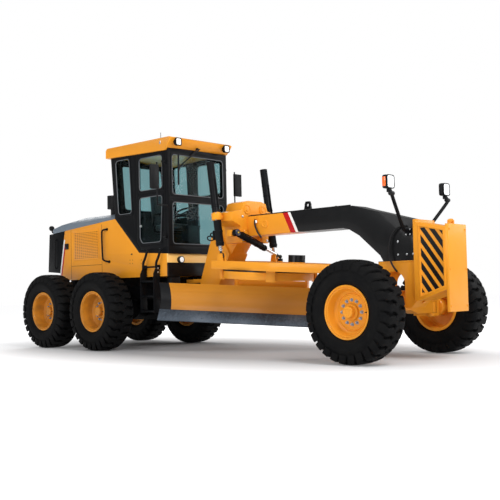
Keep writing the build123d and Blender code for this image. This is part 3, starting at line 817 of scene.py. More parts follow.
# A flat frame between two loops of as many points, given a thickness
def surround(outer, inner, thick, soft=0.002):
    loops = []
    for points in (outer, inner):
        bpy.ops.mesh.primitive_circle_add(vertices=len(points), radius=1)
        loop = bpy.context.object
        for vertex, point in zip(loop.data.vertices, points):
            vertex.co = point
        loops.append(loop)
    piece = joined(loops, "surround")
    edit(piece)
    bpy.ops.mesh.bridge_edge_loops()
    leave()
    modify(piece, "SOLIDIFY", thickness=thick, offset=0)
    clean(piece)
    return soften(piece, soft)


# A flat plate from an outline, given a thickness
def plate(points, thick, soft):
    bpy.ops.mesh.primitive_circle_add(vertices=len(points), radius=1, fill_type="NGON")
    piece = bpy.context.object
    for vertex, point in zip(piece.data.vertices, points):
        vertex.co = point
    modify(piece, "SOLIDIFY", thickness=thick, offset=0)
    clean(piece)
    return soften(piece, soft)


# A hexagon bolt head with its washer, standing out along a direction
def bolt(spot, out, size=0.014):
    spot, out = Vector(spot), Vector(out).normalized()
    parts = [rod(spot, spot + out * size * 0.25, size * 1.35, 0.0006, sides=14),
             rod(spot, spot + out * size * 0.85, size, 0.0012, sides=6)]
    return joined(parts, "bolt")


def bothSides(piece):
    return [piece, copied(piece, piece.name, mirrorY)]


# Rigid panels and castings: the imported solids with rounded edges
# node: (edge radius, finish, slot)
skins = {
    "rear_frame": (0.004, "chassis", "black_paint"),
    "rear_axle": (0.006, "chassis", "black_paint"),
    "tandem_cases": (0.012, "chassis", "black_paint"),
    "engine_block": (0.012, "engine", "engine"),
    "hood_body": (0.005, "hood", "yellow_paint"),
    "hood_crown": (0.012, "grey", "grey_paint"),
    "rear_grille": (0.008, "black", "black_paint"),
    "pre_cleaner": (0.010, "plastic", "black_plastic"),
    "cab_frame": (0.006, "black", "black_paint"),
    "cab_roof": (0.010, "paint", "yellow_paint"),
    "cab_lamps": (0.003, "plastic", "lamp_lens"),
    "mirrors": (0.004, "plastic", "black_plastic"),
    "door_left": (0.004, "black", "black_paint"),
    "door_right": (0.004, "black", "black_paint"),
    "front_frame": (0.006, "neck", "yellow_paint"),
    "saddle": (0.012, "paint", "yellow_paint"),
    "push_block": (0.005, "block", "yellow_paint"),
    "front_axle": (0.006, "paint", "yellow_paint"),
    "knuckle_left": (0.005, "paint", "yellow_paint"),
    "knuckle_right": (0.005, "paint", "yellow_paint"),
    "tie_rod": (0.003, "black", "black_paint"),
    "drawbar": (0.006, "drawbar", "yellow_paint"),
    "circle": (0.005, "circle", "yellow_paint"),
    "blade_carrier": (0.005, "black", "black_paint"),
    "moldboard": (0.002, "blade", "yellow_paint"),
    "cutting_edge": (0.002, "edge", "edge_steel"),
    "lift_barrel_left": (0.006, "lift", "black_paint"),
    "lift_barrel_right": (0.006, "lift", "black_paint"),
    "shift_barrel": (0.005, "black", "black_paint"),
    "steering_console": (0.004, "plastic", "black_plastic"),
}
# nodes that keep their own mesh
bare = {
    "cab_glass": "glass", "door_glass_left": "glass", "door_glass_right": "glass",
    "lift_rod_left": "chrome", "lift_rod_right": "chrome", "shift_rod": "chromeShift",
}


roof = {"corner": 0.055, "sideY": 0.71, "edgeLength": 0.13}


# The roof's four corners, round as seen from above
def roundCorners(piece):
    edit(piece, "DESELECT")
    bpy.ops.mesh.select_mode(type="EDGE")
    leave()
    for line in piece.data.edges:
        a, b = (piece.data.vertices[v].co for v in line.vertices)
        upright = abs(a.y - b.y) < 0.001 and abs(a.x - b.x) < roof["edgeLength"]
        line.select = upright and abs(a.y) > roof["sideY"]
    bpy.ops.object.mode_set(mode="EDIT")
    bpy.ops.mesh.bevel(offset=roof["corner"], segments=5, clamp_overlap=True)
    bpy.ops.mesh.select_mode(type="VERT")
    leave()


def dress(node, radius, finish):
    source = nodes[node]
    body = source["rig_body"]
    piece = bpy.data.objects.new(node + ".skin", source.data.copy())
    bpy.context.scene.collection.objects.link(piece)
    edit(piece)
    bpy.ops.mesh.remove_doubles(threshold=mergeWithin)
    bpy.ops.mesh.dissolve_limited(angle_limit=radians(0.8))
    bpy.ops.mesh.quads_convert_to_tris(quad_method="BEAUTY", ngon_method="BEAUTY")
    leave()
    if node == "cab_roof":
        roundCorners(piece)
    soften(piece, radius, angle=28)
    give(piece, body, finish, replaces=(node,))


for node, (radius, finish, slot) in skins.items():
    dress(node, radius, finish)
for node, finish in bare.items():
    finishes[finish].on(nodes[node])
print("panels and castings dressed:", len(skins))


rearBody = nodes["cab_frame"]["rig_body"]

cab = {
    "front": -0.605,            # face of the windscreen frame
    "side": 0.680,              # face of the doors and quarter windows
    "screens": [(1.760, 2.510), (2.590, 3.310)],
    "screenHalf": 0.615,
    "doorPanes": [[(-1.385, 3.310), (-0.730, 3.310), (-0.730, 2.700), (-1.385, 2.700)],
                  [(-1.385, 2.630), (-0.730, 2.630), (-0.790, 1.800), (-1.315, 1.800), (-1.385, 1.900)]],
    "quarter": [(-2.055, 3.350), (-1.615, 3.350), (-1.555, 2.340), (-1.980, 2.340)],
    "rearHalf": 0.48,
    "rear": (2.450, 3.300),
    "rearX": (-2.060, -2.150),  # of the rear wall's face at those heights
    "sealOut": 0.012,           # seal past the edge of the glass
    "sealIn": 0.020,
    "seal": 0.012,
    "cornerOut": 0.028,
    "cornerIn": 0.062,
    "lineIn": 0.024,            # the grey line runs along the seal's inner edge
    "line": 0.0075,
}


# Rubber round a window that lies in a plane; lift turns its (u, v) points into places
def windowSeal(corners, lift):
    def loop(margin, radius, steps=5):
        return [lift(p) for p in roundOff(grown(corners, margin), radius, steps)]

    black = surround(loop(cab["sealOut"], cab["cornerOut"]), loop(-cab["sealIn"], cab["cornerIn"]),
                     cab["seal"])
    return black, pipe(loop(-cab["lineIn"], cab["cornerIn"], 3), cab["line"], 3, closed=True)


def makeSeals():
    half = cab["screenHalf"]
    pairs = []
    for low, high in cab["screens"]:
        pairs.append(windowSeal(rectangle((-half, low), (half, high)), lambda p: (cab["front"], *p)))
    half = cab["rearHalf"]
    (z0, z1), (x0, x1) = cab["rear"], cab["rearX"]
    slope = (x1 - x0) / (z1 - z0)
    pairs.append(windowSeal(rectangle((-half, z0), (half, z1)), lambda p: (x0 + slope * (p[1] - z0), *p)))
    for hand, sideName in ((-1, "right"), (1, "left")):
        wall = hand * cab["side"]
        pairs.append(windowSeal(cab["quarter"], lambda p: (p[0], wall, p[1])))
        panes = [windowSeal(corners, lambda p: (p[0], wall, p[1])) for corners in cab["doorPanes"]]
        doorBody = nodes["door_" + sideName]["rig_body"]
        gave([a for a, b in panes], doorBody, "black", "doorFrame." + sideName)
        gave([b for a, b in panes], doorBody, "seal", "doorSeal." + sideName)
    gave([a for a, b in pairs], rearBody, "black", "cabFrames")
    gave([b for a, b in pairs], rearBody, "seal", "cabSeals")


makeSeals()

lamps = {
    "roof": ((0.504, 3.426), (0.616, 3.538)),   # y and z of two corners
    "rimX": -0.464,
    "rimOut": (0.010, 0.030),       # margin and corner radius
    "rimIn": (-0.006, 0.022),
    "rimThick": 0.026,
    "faceX": -0.462,
    "faceEdge": (-0.004, 0.022),
    "faceThick": 0.010,
    "workRimAt": (-0.591, 0.430, 1.520),
    "workRim": [(0.046, 0.0), (0.060, 0.0), (0.060, 0.018), (0.052, 0.024), (0.046, 0.018)],
    "workFaceAt": (-0.581, 0.430, 1.520),
    "workFace": [(0.0, 0.0), (0.046, 0.0), (0.046, 0.006), (0.0276, 0.011), (0.0, 0.013)],
}


# Square roof lamps with round corners, and round work lamps on the wall below
def makeCabLamps():
    square = rectangle(*lamps["roof"])
    edges = [loopAt(lamps["rimX"], square, *lamps[edge]) for edge in ("rimOut", "rimIn")]
    rim = surround(*edges, lamps["rimThick"], 0.004)
    sheet = plate(loopAt(lamps["faceX"], square, *lamps["faceEdge"]), lamps["faceThick"], 0.003)
    gave(bothSides(rim), rearBody, "plastic", "roofLampRims")
    gave(bothSides(sheet), rearBody, "lens", "roofLampFaces")
    rim = turned(lamps["workRim"], lamps["workRimAt"], (1, 0, 0), 28)
    face = turned(lamps["workFace"], lamps["workFaceAt"], (1, 0, 0), 28)
    gave(bothSides(rim), rearBody, "plastic", "workLampRims")
    gave(bothSides(face), rearBody, "lens", "workLampFaces")


makeCabLamps()

wiper = {
    # two arms, then their spindles: start, end, radius, softness, sides
    "rods": [((-0.565, -0.040, 3.425), (-0.592, -0.430, 3.080), 0.0095, 0.0, 8),
             ((-0.565, 0.005, 3.425), (-0.592, -0.430, 3.098), 0.0095, 0.0, 8),
             ((-0.610, -0.040, 3.429), (-0.553, -0.040, 3.429), 0.016, 0.003, 14),
             ((-0.610, 0.005, 3.425), (-0.555, 0.005, 3.425), 0.011, 0.003, 12)],
    "clip": ((-0.600, -0.460, 3.040), (-0.584, -0.424, 3.130), 0.004),
    "blade": [(-0.594, -0.452, 3.300), (-0.592, -0.455, 3.120), (-0.594, -0.458, 2.780)],
    "bladeRadius": 0.016,
}


def makeWiper():
    parts = [rod(*row) for row in wiper["rods"]]
    parts += [box(*wiper["clip"]), pipe(wiper["blade"], wiper["bladeRadius"], 3)]
    gave(parts, rearBody, "plastic", "wiper")


makeWiper()

seat = {
    # low and high corner, how far the edges draw in and the face swells, the face's axis
    "cushion": ((-1.500, -0.245, 2.055), (-1.038, 0.245, 2.172), 0.014, 0.012, 2),
    "back": ((-0.060, -0.235, 0.0), (0.060, 0.235, 0.690), 0.014, 0.014, 0),
    "backAt": (-1.530, 0.0, 2.160),
    "backLean": -6.0,
    "padCuts": 5,
    "edgeFrom": 0.6,            # share of a pad's half width where its edge begins
    "base": [((-1.480, -0.225, 2.025), (-1.088, 0.225, 2.075), 0.010),
             ((-1.355, -0.150, 1.7095), (-1.135, 0.150, 2.035), 0.012),
             ((-1.580, -0.200, 2.045), (-1.500, 0.200, 2.230), 0.012)],
    "bellows": 5,               # round the suspension
    "bellow": ((-1.365, -0.160, 1.800), (-1.125, 0.160, 1.820), 0.009),
    "bellowPitch": 0.036,
    # on the left side
    "armrest": ((-1.500, 0.240, 2.330), (-1.180, 0.284, 2.370), 0.012),
    "armPost": ((-1.480, 0.262, 2.350), (-1.545, 0.235, 2.150), 0.014, 0.003, 12),
}


# A seat pad: a soft box with one pair of faces pushed out, drawn in along its edges and smoothed
def makePad(low, high, edge, swell, faceAxis):
    pad = box(low, high, 0)
    edit(pad)
    bpy.ops.mesh.subdivide(number_cuts=seat["padCuts"])
    leave()
    middle = (Vector(low) + Vector(high)) / 2
    half = (Vector(high) - Vector(low)) / 2
    for vertex in pad.data.vertices:
        away = [(vertex.co[n] - middle[n]) / half[n] for n in range(3)]
        others = [n for n in range(3) if n != faceAxis]
        dome = (1 - away[others[0]] ** 2) * (1 - away[others[1]] ** 2)
        vertex.co[faceAxis] += away[faceAxis] * swell * dome
        for n in others:
            vertex.co[n] -= away[n] * edge * abs(away[faceAxis]) ** 3 * (abs(away[n]) > seat["edgeFrom"])
    modify(pad, "SUBSURF", levels=2, render_levels=2)
    bpy.ops.object.shade_smooth()
    return pad


def makeSeat():
    cushion = makePad(*seat["cushion"])
    give(cushion, rearBody, "cloth", "seatCushion", replaces=("operator_seat",))
    backrest = makePad(*seat["back"])
    lean = Matrix.Rotation(radians(seat["backLean"]), 4, "Y")
    backrest.data.transform(Matrix.Translation(seat["backAt"]) @ lean)
    give(backrest, rearBody, "cloth", "seatBack", replaces=("operator_seat",))
    parts = [box(*row) for row in seat["base"]]
    low, high, soft = seat["bellow"]
    for n in range(seat["bellows"]):
        up = Vector((0, 0, n * seat["bellowPitch"]))
        parts.append(box(Vector(low) + up, Vector(high) + up, soft))
    for hand in (-1, 1):
        parts += [sideBox(*seat["armrest"], hand), sideRod(*seat["armPost"], hand)]
    gave(parts, rearBody, "plastic", "seatBase")


makeSeat()

console = {
    "levers": 4,                # each side of the column
    "leverX": -0.800,
    "leverY": 0.075,
    "leverPitch": 0.042,
    "leverFoot": 2.105,
    "leverTop": 2.300,
    "leverRadius": 0.006,
    "lean": 0.060,
    "spread": 1.12,             # of the tops to the feet
    "arch": 0.012,
    "knob": [(0.0, -0.024), (0.011, -0.020), (0.018, 0.0), (0.014, 0.018), (0.0, 0.024)],
    "knobAxis": (-0.2, 0, 1),
    "pedalY": (-0.205, 0.150),
    # foot and pad of a pedal, from its y
    "pedal": [((-0.800, 0.0, 1.7095), (-0.700, 0.075, 1.735), 0.006),
              ((-0.795, 0.005, 1.735), (-0.730, 0.070, 1.765), 0.006)],
    "displayArm": ((-0.690, -0.585, 2.30), (-0.760, -0.480, 2.42), 0.010, 0.0, 10),
    "display": ((-0.790, -0.560, 2.400), (-0.740, -0.400, 2.540), 0.012),
}


# Control levers with knobs, pedals and the display on the post
def makeControls():
    rods, knobs = [], []
    for hand in (-1, 1):
        for n in range(console["levers"]):
            y = hand * (console["leverY"] + n * console["leverPitch"])
            drop = abs(n - (console["levers"] - 1) / 2) * console["arch"]
            top = (console["leverX"] - console["lean"], y * console["spread"], console["leverTop"] - drop)
            foot = (console["leverX"], y, console["leverFoot"])
            rods.append(rod(foot, top, console["leverRadius"], sides=10))
            knobs.append(turned(console["knob"], top, console["knobAxis"], 14))
    for y in console["pedalY"]:
        aside = Vector((0, y, 0))
        knobs += [box(Vector(low) + aside, Vector(high) + aside, soft)
                  for low, high, soft in console["pedal"]]
    rods.append(rod(*console["displayArm"]))
    knobs.append(box(*console["display"]))
    gave(rods, rearBody, "plastic", "leverRods")
    gave(knobs, rearBody, "plastic", "leverKnobs")


makeControls()

ladder = {
    "x": (-1.195, -0.835),
    "thick": 0.016,
    # side plate in section as (distance from the middle of the machine, height)
    "plate": [(0.692, 0.640), (0.692, 1.440), (0.750, 1.440), (0.830, 1.290), (0.830, 0.640)],
    "lug": ((0.6805, 1.370), (0.700, 1.430)),
    "bolts": [(0.735, 1.380), (0.735, 1.315)],
    "boltSize": 0.012,
    "rungs": (0.650, 0.900, 1.150),
    "rungY": (0.700, 0.826),
    "rungGap": 0.010,
    "rungThick": 0.028,
    "grips": 9,                 # cross bars on each rung
    "gripFrom": 0.035,
    "gripPitch": 0.036,
    "gripWide": 0.012,
    "gripHigh": 0.008,
    "gripIn": (0.012, 0.010),   # from the rung's edges
    # grab bar, x from the side plate
    "grabIn": 0.008,
    "grab": [(0.0, 0.765, 1.380), (0.0, 0.772, 1.470), (0.055, 0.760, 1.560), (0.085, 0.745, 1.680),
             (0.085, 0.715, 1.700)],
    "grabRadius": 0.021,
    "bar": (0.765, 1.405),
    "barRadius": 0.015,
}


# Bolted ladder: side plates, grip rungs and bent grab bars up to the cab
def makeLadder():
    steps, bars, bolts = [], [], []
    (x0, x1), (y0, y1), thick = ladder["x"], ladder["rungY"], ladder["thick"]
    lugLow, lugHigh = ladder["lug"]
    for x, face, out in ((x0, x0, -1), (x1 - thick, x1, 1)):
        steps.append(plate([(x + thick / 2, *spot) for spot in ladder["plate"]], thick, 0.003))
        steps.append(box((x, *lugLow), (x + thick, *lugHigh), 0.002))
        bolts += [bolt((face, *spot), (out, 0, 0), ladder["boltSize"]) for spot in ladder["bolts"]]
    for z in ladder["rungs"]:
        top = z + ladder["rungThick"]
        steps.append(box((x0 + ladder["rungGap"], y0, z), (x1 - ladder["rungGap"], y1, top), 0.004))
        for n in range(ladder["grips"]):
            x = x0 + ladder["gripFrom"] + n * ladder["gripPitch"]
            low = (x, y0 + ladder["gripIn"][0], top)
            high = (x + ladder["gripWide"], y1 - ladder["gripIn"][1], top + ladder["gripHigh"])
            steps.append(box(low, high, 0.003))
    for foot in (x0 + ladder["grabIn"], x1 - ladder["grabIn"]):
        bars.append(pipe([(foot + x, y, z) for x, y, z in ladder["grab"]], ladder["grabRadius"]))
    bars.append(rod((x0, *ladder["bar"]), (x1, *ladder["bar"]), ladder["barRadius"], 0.001, 12))
    for made, finish, slot, name in ((steps, "black", "black_paint", "ladderSteps"),
                                     (bars, "black", "black_paint", "ladderBars"),
                                     (bolts, "zinc", "edge_steel", "ladderBolts")):
        pair = joined(bothSides(joined(made, name)), name)
        give(pair, rearBody, finish, name, replaces=("ladders",) if name == "ladderSteps" else ())


makeLadder()

# Places on the left side; boxes as (low, high, softness), rods as (start, end, radius, softness, sides)
trim = {
    "handle": [(-2.300, 0.690, 2.130), (-2.375, 0.735, 2.130), (-2.395, 0.735, 2.060), (-2.375, 0.735, 1.640),
               (-2.355, 0.735, 1.560), (-2.240, 0.690, 1.545)],
    "handleRadius": 0.016,
    "footY": (0.681, 0.694),
    "footRadius": 0.026,
    # two upright seams and a level one, a latch, and a box with its lid
    "seams": [((-2.470, 0.6790, 1.260), (-2.464, 0.6812, 2.230), 0),
              ((-3.440, 0.6790, 1.260), (-3.434, 0.6812, 2.190), 0),
              ((-3.440, 0.6790, 1.500), (-2.470, 0.6812, 1.506), 0),
              ((-1.620, 0.679, 1.638), (-1.580, 0.688, 1.662), 0.004),
              ((-3.630, 0.679, 1.830), (-3.520, 0.694, 1.940), 0.006),
              ((-3.595, 0.690, 1.860), (-3.555, 0.702, 1.910), 0.004)],
    "studs": [(-1.650, 1.550), (-1.580, 1.550), (-1.580, 1.490), (-1.650, 1.490), (-1.340, 1.540),
              (-1.340, 1.480)],
    "studY": (0.679, 0.683),
    "studRadius": 0.007,
    "slots": ((-3.345, 1.610), (-2.560, 2.165)),
    "slotY": 0.6830,
    "slotCorner": 0.02,
    "slotThick": 0.004,
    "lock": ((-1.330, 0.680, 2.120), (-1.330, 0.700, 2.120), 0.020, 0.003, 16),
    "grip": [(-1.335, 0.645, 2.35), (-1.335, 0.600, 2.35), (-1.335, 0.590, 2.30), (-1.325, 0.590, 1.95),
             (-1.325, 0.600, 1.90), (-1.325, 0.645, 1.90)],
    "gripRadius": 0.011,
    "mirror": ((-0.6395, 0.895, 2.700), (-0.6355, 1.035, 3.060), 0.0015),
    # these three have no twin
    "antenna": [((-0.760, -0.690, 3.520), (-0.760, -0.690, 3.560), 0.010, 0.002, 12),
                ((-0.760, -0.690, 3.560), (-0.760, -0.690, 3.660), 0.0045, 0.0, 8)],
    "antennaFoot": [((-0.760, -0.717, 3.480), (-0.760, -0.700, 3.480), 0.020, 0.003, 14),
                    ((-0.760, -0.712, 3.490), (-0.760, -0.690, 3.530), 0.014, 0.003, 14)],
    "headliner": ((-2.100, -0.638, 3.384), (-0.645, 0.638, 3.398), 0.004),
}


# Grab handles, latch and seams on the hood's sides, and the cover with the cooling slots
def makeHoodTrim():
    y0, y1 = trim["footY"]
    feet = [rod((x, y0, z), (x, y1, z), trim["footRadius"], 0.003, 14)
            for x, _, z in (trim["handle"][0], trim["handle"][-1])]
    handle = joined([pipe(trim["handle"], trim["handleRadius"]), *feet], "handle")
    gave(bothSides(handle), rearBody, "black", "hoodHandles")
    y0, y1 = trim["studY"]
    seams = [box(*row) for row in trim["seams"]]
    seams += [rod((x, y0, z), (x, y1, z), trim["studRadius"], 0.001, 12) for x, z in trim["studs"]]
    gave(bothSides(joined(seams, "seams")), rearBody, "plastic", "hoodSeams")
    outline = roundOff(rectangle(*trim["slots"]), trim["slotCorner"])
    cover = plate([(x, trim["slotY"], z) for x, z in outline], trim["slotThick"], 0.001)
    gave(bothSides(cover), rearBody, "slots", "slotCovers")


# Antenna, headliner, and each side's door lock, door grip and mirror
def makeCabTrim():
    gave([rod(*row) for row in trim["antenna"]], rearBody, "plastic", "antenna")
    gave([rod(*row) for row in trim["antennaFoot"]], rearBody, "zinc", "antennaFoot")
    gave([box(*trim["headliner"])], rearBody, "liner", "headliner")
    for hand, sideName in ((-1, "right"), (1, "left")):
        doorBody = nodes["door_" + sideName]["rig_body"]
        give(sideRod(*trim["lock"], hand), doorBody, "zinc", "doorLock." + sideName)
        grip = pipe(sided(trim["grip"], hand), trim["gripRadius"])
        give(grip, doorBody, "plastic", "doorGrip." + sideName)
        give(sideBox(*trim["mirror"], hand), rearBody, "mirror", "mirrorFace." + sideName)


makeHoodTrim()
makeCabTrim()
print("cab and hood trimmed")


frontBody = nodes["front_frame"]["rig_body"]

frontLamp = {
    "pole": [(3.735, 0.190, 1.724), (3.735, 0.285, 1.745), (3.738, 0.312, 1.775), (3.838, 0.680, 2.150),
             (3.842, 0.700, 2.180), (3.838, 0.702, 2.205), (3.800, 0.700, 2.262)],
    "poleRadius": 0.024,
    "joints": [((3.800, 0.700, 2.215), (3.800, 0.700, 2.262), 0.032, 0.004),
               ((3.838, 0.662, 2.195), (3.838, 0.738, 2.195), 0.030, 0.004)],
    "case": ((3.745, 0.615, 2.260), (3.821, 0.785, 2.440)),
    "caseSoft": 0.026,
    "rimX": 3.825,
    "rimOut": (0.0, 0.035),     # margin and corner radius
    "rimIn": (-0.014, 0.026),
    "rimThick": 0.022,
    "faceX": 3.827,
    "faceEdge": (-0.013, 0.026),
    "faceThick": 0.010,
    "turnLamp": ((3.757, 0.781, 2.288), (3.809, 0.791, 2.412), 0.008),
    "ribs": 4,                  # cooling ribs behind
    "rib": ((3.737, 0.644, 2.290), (3.749, 0.654, 2.410), 0.002),
    "ribPitch": 0.034,
    "base": ((3.685, 0.1705, 1.670), (3.785, 0.183, 1.770)),
    "socket": ((3.735, 0.183, 1.724), (3.735, 0.215, 1.724), 0.036, 0.004),
    "boltIn": 0.018,
    "boltSize": 0.009,
}


# Lamps on bent poles: a housing with a white face and an amber lens on its outer side
def makeFrontLamps():
    (_, y0, z0), (_, y1, z1) = frontLamp["case"]
    square = rectangle((y0, z0), (y1, z1))
    edges = [loopAt(frontLamp["rimX"], square, *frontLamp[edge]) for edge in ("rimOut", "rimIn")]
    housing = [box(*frontLamp["case"], frontLamp["caseSoft"], segments=4),
               surround(*edges, frontLamp["rimThick"], 0.004)]
    housing += [rod(*row) for row in frontLamp["joints"]]
    low, high, soft = frontLamp["rib"]
    for n in range(frontLamp["ribs"]):
        aside = Vector((0, n * frontLamp["ribPitch"], 0))
        housing.append(box(Vector(low) + aside, Vector(high) + aside, soft))
    poles = [pipe(frontLamp["pole"], frontLamp["poleRadius"], 5), box(*frontLamp["base"], 0.004),
             rod(*frontLamp["socket"])]
    face = plate(loopAt(frontLamp["faceX"], square, *frontLamp["faceEdge"]), frontLamp["faceThick"], 0.003)
    side = box(*frontLamp["turnLamp"])
    (x0, _, z0), (x1, y1, z1) = frontLamp["base"]
    inset = frontLamp["boltIn"]
    bolts = [bolt((x, y1, z), (0, 1, 0), frontLamp["boltSize"])
             for x in (x0 + inset, x1 - inset) for z in (z0 + inset, z1 - inset)]
    for made, finish, slot, name in ((housing, "plastic", "black_plastic", "lampHousings"),
                                     (poles, "black", "black_plastic", "lampPoles"),
                                     ([face], "lens", "lamp_lens", "lampFaces"),
                                     ([side], "orange", "lamp_lens", "turnLamps"),
                                     (bolts, "zinc", "edge_steel", "lampBolts")):
        gave(bothSides(joined(made, name)), frontBody, finish, name)
    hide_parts("front_lamps")


makeFrontLamps()

neck = {
    "ear": (1.845, 0.0, 2.255),
    "earRing": [(0.0255, -0.0165), (0.056, -0.0165), (0.058, 0.0), (0.056, 0.0165), (0.0255, 0.0165)],
    "line": [(0.735, -0.150, 2.166), (1.060, -0.150, 2.166), (1.440, -0.150, 2.166), (2.760, -0.150, 2.166)],
    "lineRadius": 0.009,
    "clamps": (0.800, 1.120, 1.500, 2.000, 2.500),
    "clamp": ((-0.016, -0.164, 2.1545), (0.016, -0.136, 2.178)),    # about its x
    "noseHose": [(3.720, -0.190, 1.800), (3.620, -0.205, 1.815), (3.480, -0.212, 1.700),
                 (3.440, -0.215, 1.500), (3.460, -0.215, 1.330), (3.520, -0.200, 1.220),
                 (3.540, -0.176, 1.190)],
    "noseHoseRadius": 0.0125,
    "neckHose": [(0.900, -0.178, 2.090), (0.905, -0.205, 2.060), (0.930, -0.205, 1.960),
                 (0.990, -0.200, 1.850), (1.030, -0.178, 1.800)],
    "neckHoseRadius": 0.014,
    "hook": [(0.900, -0.172, 2.130), (0.905, -0.190, 2.125), (0.930, -0.192, 2.100), (0.960, -0.190, 2.110)],
    "hookRadius": 0.010,
    "lockEyeGlint": ((0.925, -0.186, 2.060), (0.925, -0.196, 2.060), 0.024, 0.003, 20),
    "bosses": [((1.105, 0.171, 2.010), 0.062), ((0.930, 0.171, 2.060), 0.034)],
    # share of the boss's radius, height
    "boss": [(0.0, -0.006), (1.0, -0.006), (1.0, 0.010), (0.80, 0.014), (0.62, 0.006), (0.45, 0.008),
             (0.0, 0.010)],
    "noseBolts": [(3.560, 0.1705, 1.420), (3.560, 0.1705, 1.600), (3.700, 0.1705, 1.420),
                  (3.800, 0.1705, 1.420)],
    "noseBoltSize": 0.011,
    "flange": ((3.320, 0.170, 1.318), (3.840, 0.176, 1.334), 0.002),
}


# Rounded lifting eye, pipe and hoses along the neck, bosses, bolts and a flange on its sides
def makeNeckParts():
    ring = turned(neck["earRing"], neck["ear"], (0, 1, 0), 32)
    (x0, y0, z0), (x1, y1, z1) = neck["clamp"]
    hoses = [pipe(neck["line"], neck["lineRadius"], 3, straight=True)]
    hoses += [box((x + x0, y0, z0), (x + x1, y1, z1), 0.003) for x in neck["clamps"]]
    hoses += [pipe(neck["noseHose"], neck["noseHoseRadius"]), pipe(neck["neckHose"], neck["neckHoseRadius"])]
    amber, steel = [], []
    for hand in (-1, 1):
        out = (0, hand, 0)
        for place, radius in neck["bosses"]:
            outline = [(radius * share, height) for share, height in neck["boss"]]
            amber.append(turned(outline, *sided([place], hand), out, 28))
        amber.append(sideBox(*neck["flange"], hand))
        steel += [bolt(spot, out, neck["noseBoltSize"]) for spot in sided(neck["noseBolts"], hand)]
    amber.append(pipe(neck["hook"], neck["hookRadius"], 3))
    gave([ring], frontBody, "black", "neckFittings")
    gave(hoses, frontBody, "hose", "neckHoses")
    gave(amber, frontBody, "paint", "neckBosses")
    gave(steel, frontBody, "zinc", "noseBolts")
    # the lock eye has the glowing lamp lens finish: a painted glint
    give(rod(*neck["lockEyeGlint"]), frontBody, "lens", "lockEyeGlint")


makeNeckParts()

saddleTrim = {
    # ring bosses on the casting's front: place and radius, on the left side
    "rings": [((0.7260, 0.180, 2.270), 0.075), ((0.7260, 0.230, 1.900), 0.050)],
    # share of the ring's radius, height
    "ring": [(0.0, -0.008), (1.0, -0.008), (1.0, 0.012), (0.84, 0.018), (0.70, 0.008), (0.50, 0.010),
             (0.42, 0.018), (0.0, 0.020)],
    "bolts": [(0.7255, 0.285, 2.150), (0.7255, 0.275, 1.780)],
    "boltSize": 0.016,
}


def makeSaddleParts():
    ahead = (1, 0, 0)
    rings, bolts = [], []
    for hand in (-1, 1):
        for place, radius in saddleTrim["rings"]:
            outline = [(radius * share, height) for share, height in saddleTrim["ring"]]
            rings.append(turned(outline, *sided([place], hand), ahead, 36))
        bolts += [bolt(spot, ahead, saddleTrim["boltSize"]) for spot in sided(saddleTrim["bolts"], hand)]
    gave(rings, frontBody, "paint", "saddleRings")
    gave(bolts, frontBody, "zinc", "saddleBolts")


makeSaddleParts()

liftTrim = {
    "pivot": (0.485, 0.620, 2.150),
    "axis": (0.1437, 0.0, -0.9896),
    "ahead": (0.9896, 0.0, 0.1437),
    "tube": 0.062,
    # bands round the tube: where along the axis they start and end, how proud and soft they are
    "bands": [(0.410, 0.444, 0.006, 0.005), (-0.170, -0.148, 0.006, 0.004), (0.230, 0.252, 0.006, 0.004),
              (-0.180, -0.194, 0.004, 0.002), (-0.420, -0.434, 0.004, 0.002), (-0.590, -0.604, 0.004, 0.002)],
    "port": 0.285,              # along the axis
    "portOut": 0.020,
    "portLow": (-0.030, -0.034, -0.075),
    "portHigh": (0.024, 0.034, 0.075),
    # the two hose loops: start from the port, reach behind it
    "loops": [((-0.020, -0.020, 0.030), 0.115), ((-0.020, 0.020, -0.020), 0.145)],
    "loopRadius": 0.010,
    "line": (-0.110, -0.600),   # pipe up the tube, along the axis
    "lineOut": 0.010,
    "lineRadius": 0.008,
    "bolts": [(-0.045, -0.055), (-0.045, 0.055), (0.045, -0.055), (0.045, 0.055)],
    "boltOut": 0.0605,
    "boltSize": 0.008,
}


# A hose that leaves the port, turns behind it and comes back
def liftLoop(start, reach):
    bends = [(0, 0, 0), (-reach, -0.01, 0.03), (-reach - 0.02, -0.02, -0.035), (-reach * 0.5, -0.01, -0.062),
             (0.004, 0, -0.050)]
    return pipe([start + Vector(bend) for bend in bends], liftTrim["loopRadius"], 3)


# Glands, ports and pipes on the lift cylinders, trunnion bolts on the yokes
def makeLiftParts():
    pivot, axis, ahead = Vector(liftTrim["pivot"]), Vector(liftTrim["axis"]), Vector(liftTrim["ahead"])
    r = liftTrim["tube"]
    parts = [rod(pivot + axis * start, pivot + axis * end, r + proud, soft, 28)
             for start, end, proud, soft in liftTrim["bands"]]
    port = pivot + axis * liftTrim["port"] - ahead * (r + liftTrim["portOut"])
    parts.append(box(port + Vector(liftTrim["portLow"]), port + Vector(liftTrim["portHigh"]), 0.008))
    parts += [liftLoop(port + Vector(start), reach) for start, reach in liftTrim["loops"]]
    line = [pivot + axis * reach + ahead * (r + liftTrim["lineOut"]) for reach in liftTrim["line"]]
    parts.append(pipe(line, liftTrim["lineRadius"], 3, straight=True))
    whole = joined(parts, "liftParts")
    heads = [bolt(pivot + Vector((x, liftTrim["boltOut"], z)), (0, 1, 0), liftTrim["boltSize"])
             for x, z in liftTrim["bolts"]]
    heads = joined(heads, "heads")
    for hand, sideName in ((1, "left"), (-1, "right")):
        body = nodes["lift_barrel_" + sideName]["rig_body"]
        move = mirrorY if hand < 0 else Matrix()
        give(copied(whole, "liftParts", move), body, "black", "liftParts." + sideName)
        give(copied(heads, "yokeBolts", move), body, "zinc", "yokeBolts." + sideName)
    for piece in (whole, heads):
        bpy.data.objects.remove(piece)


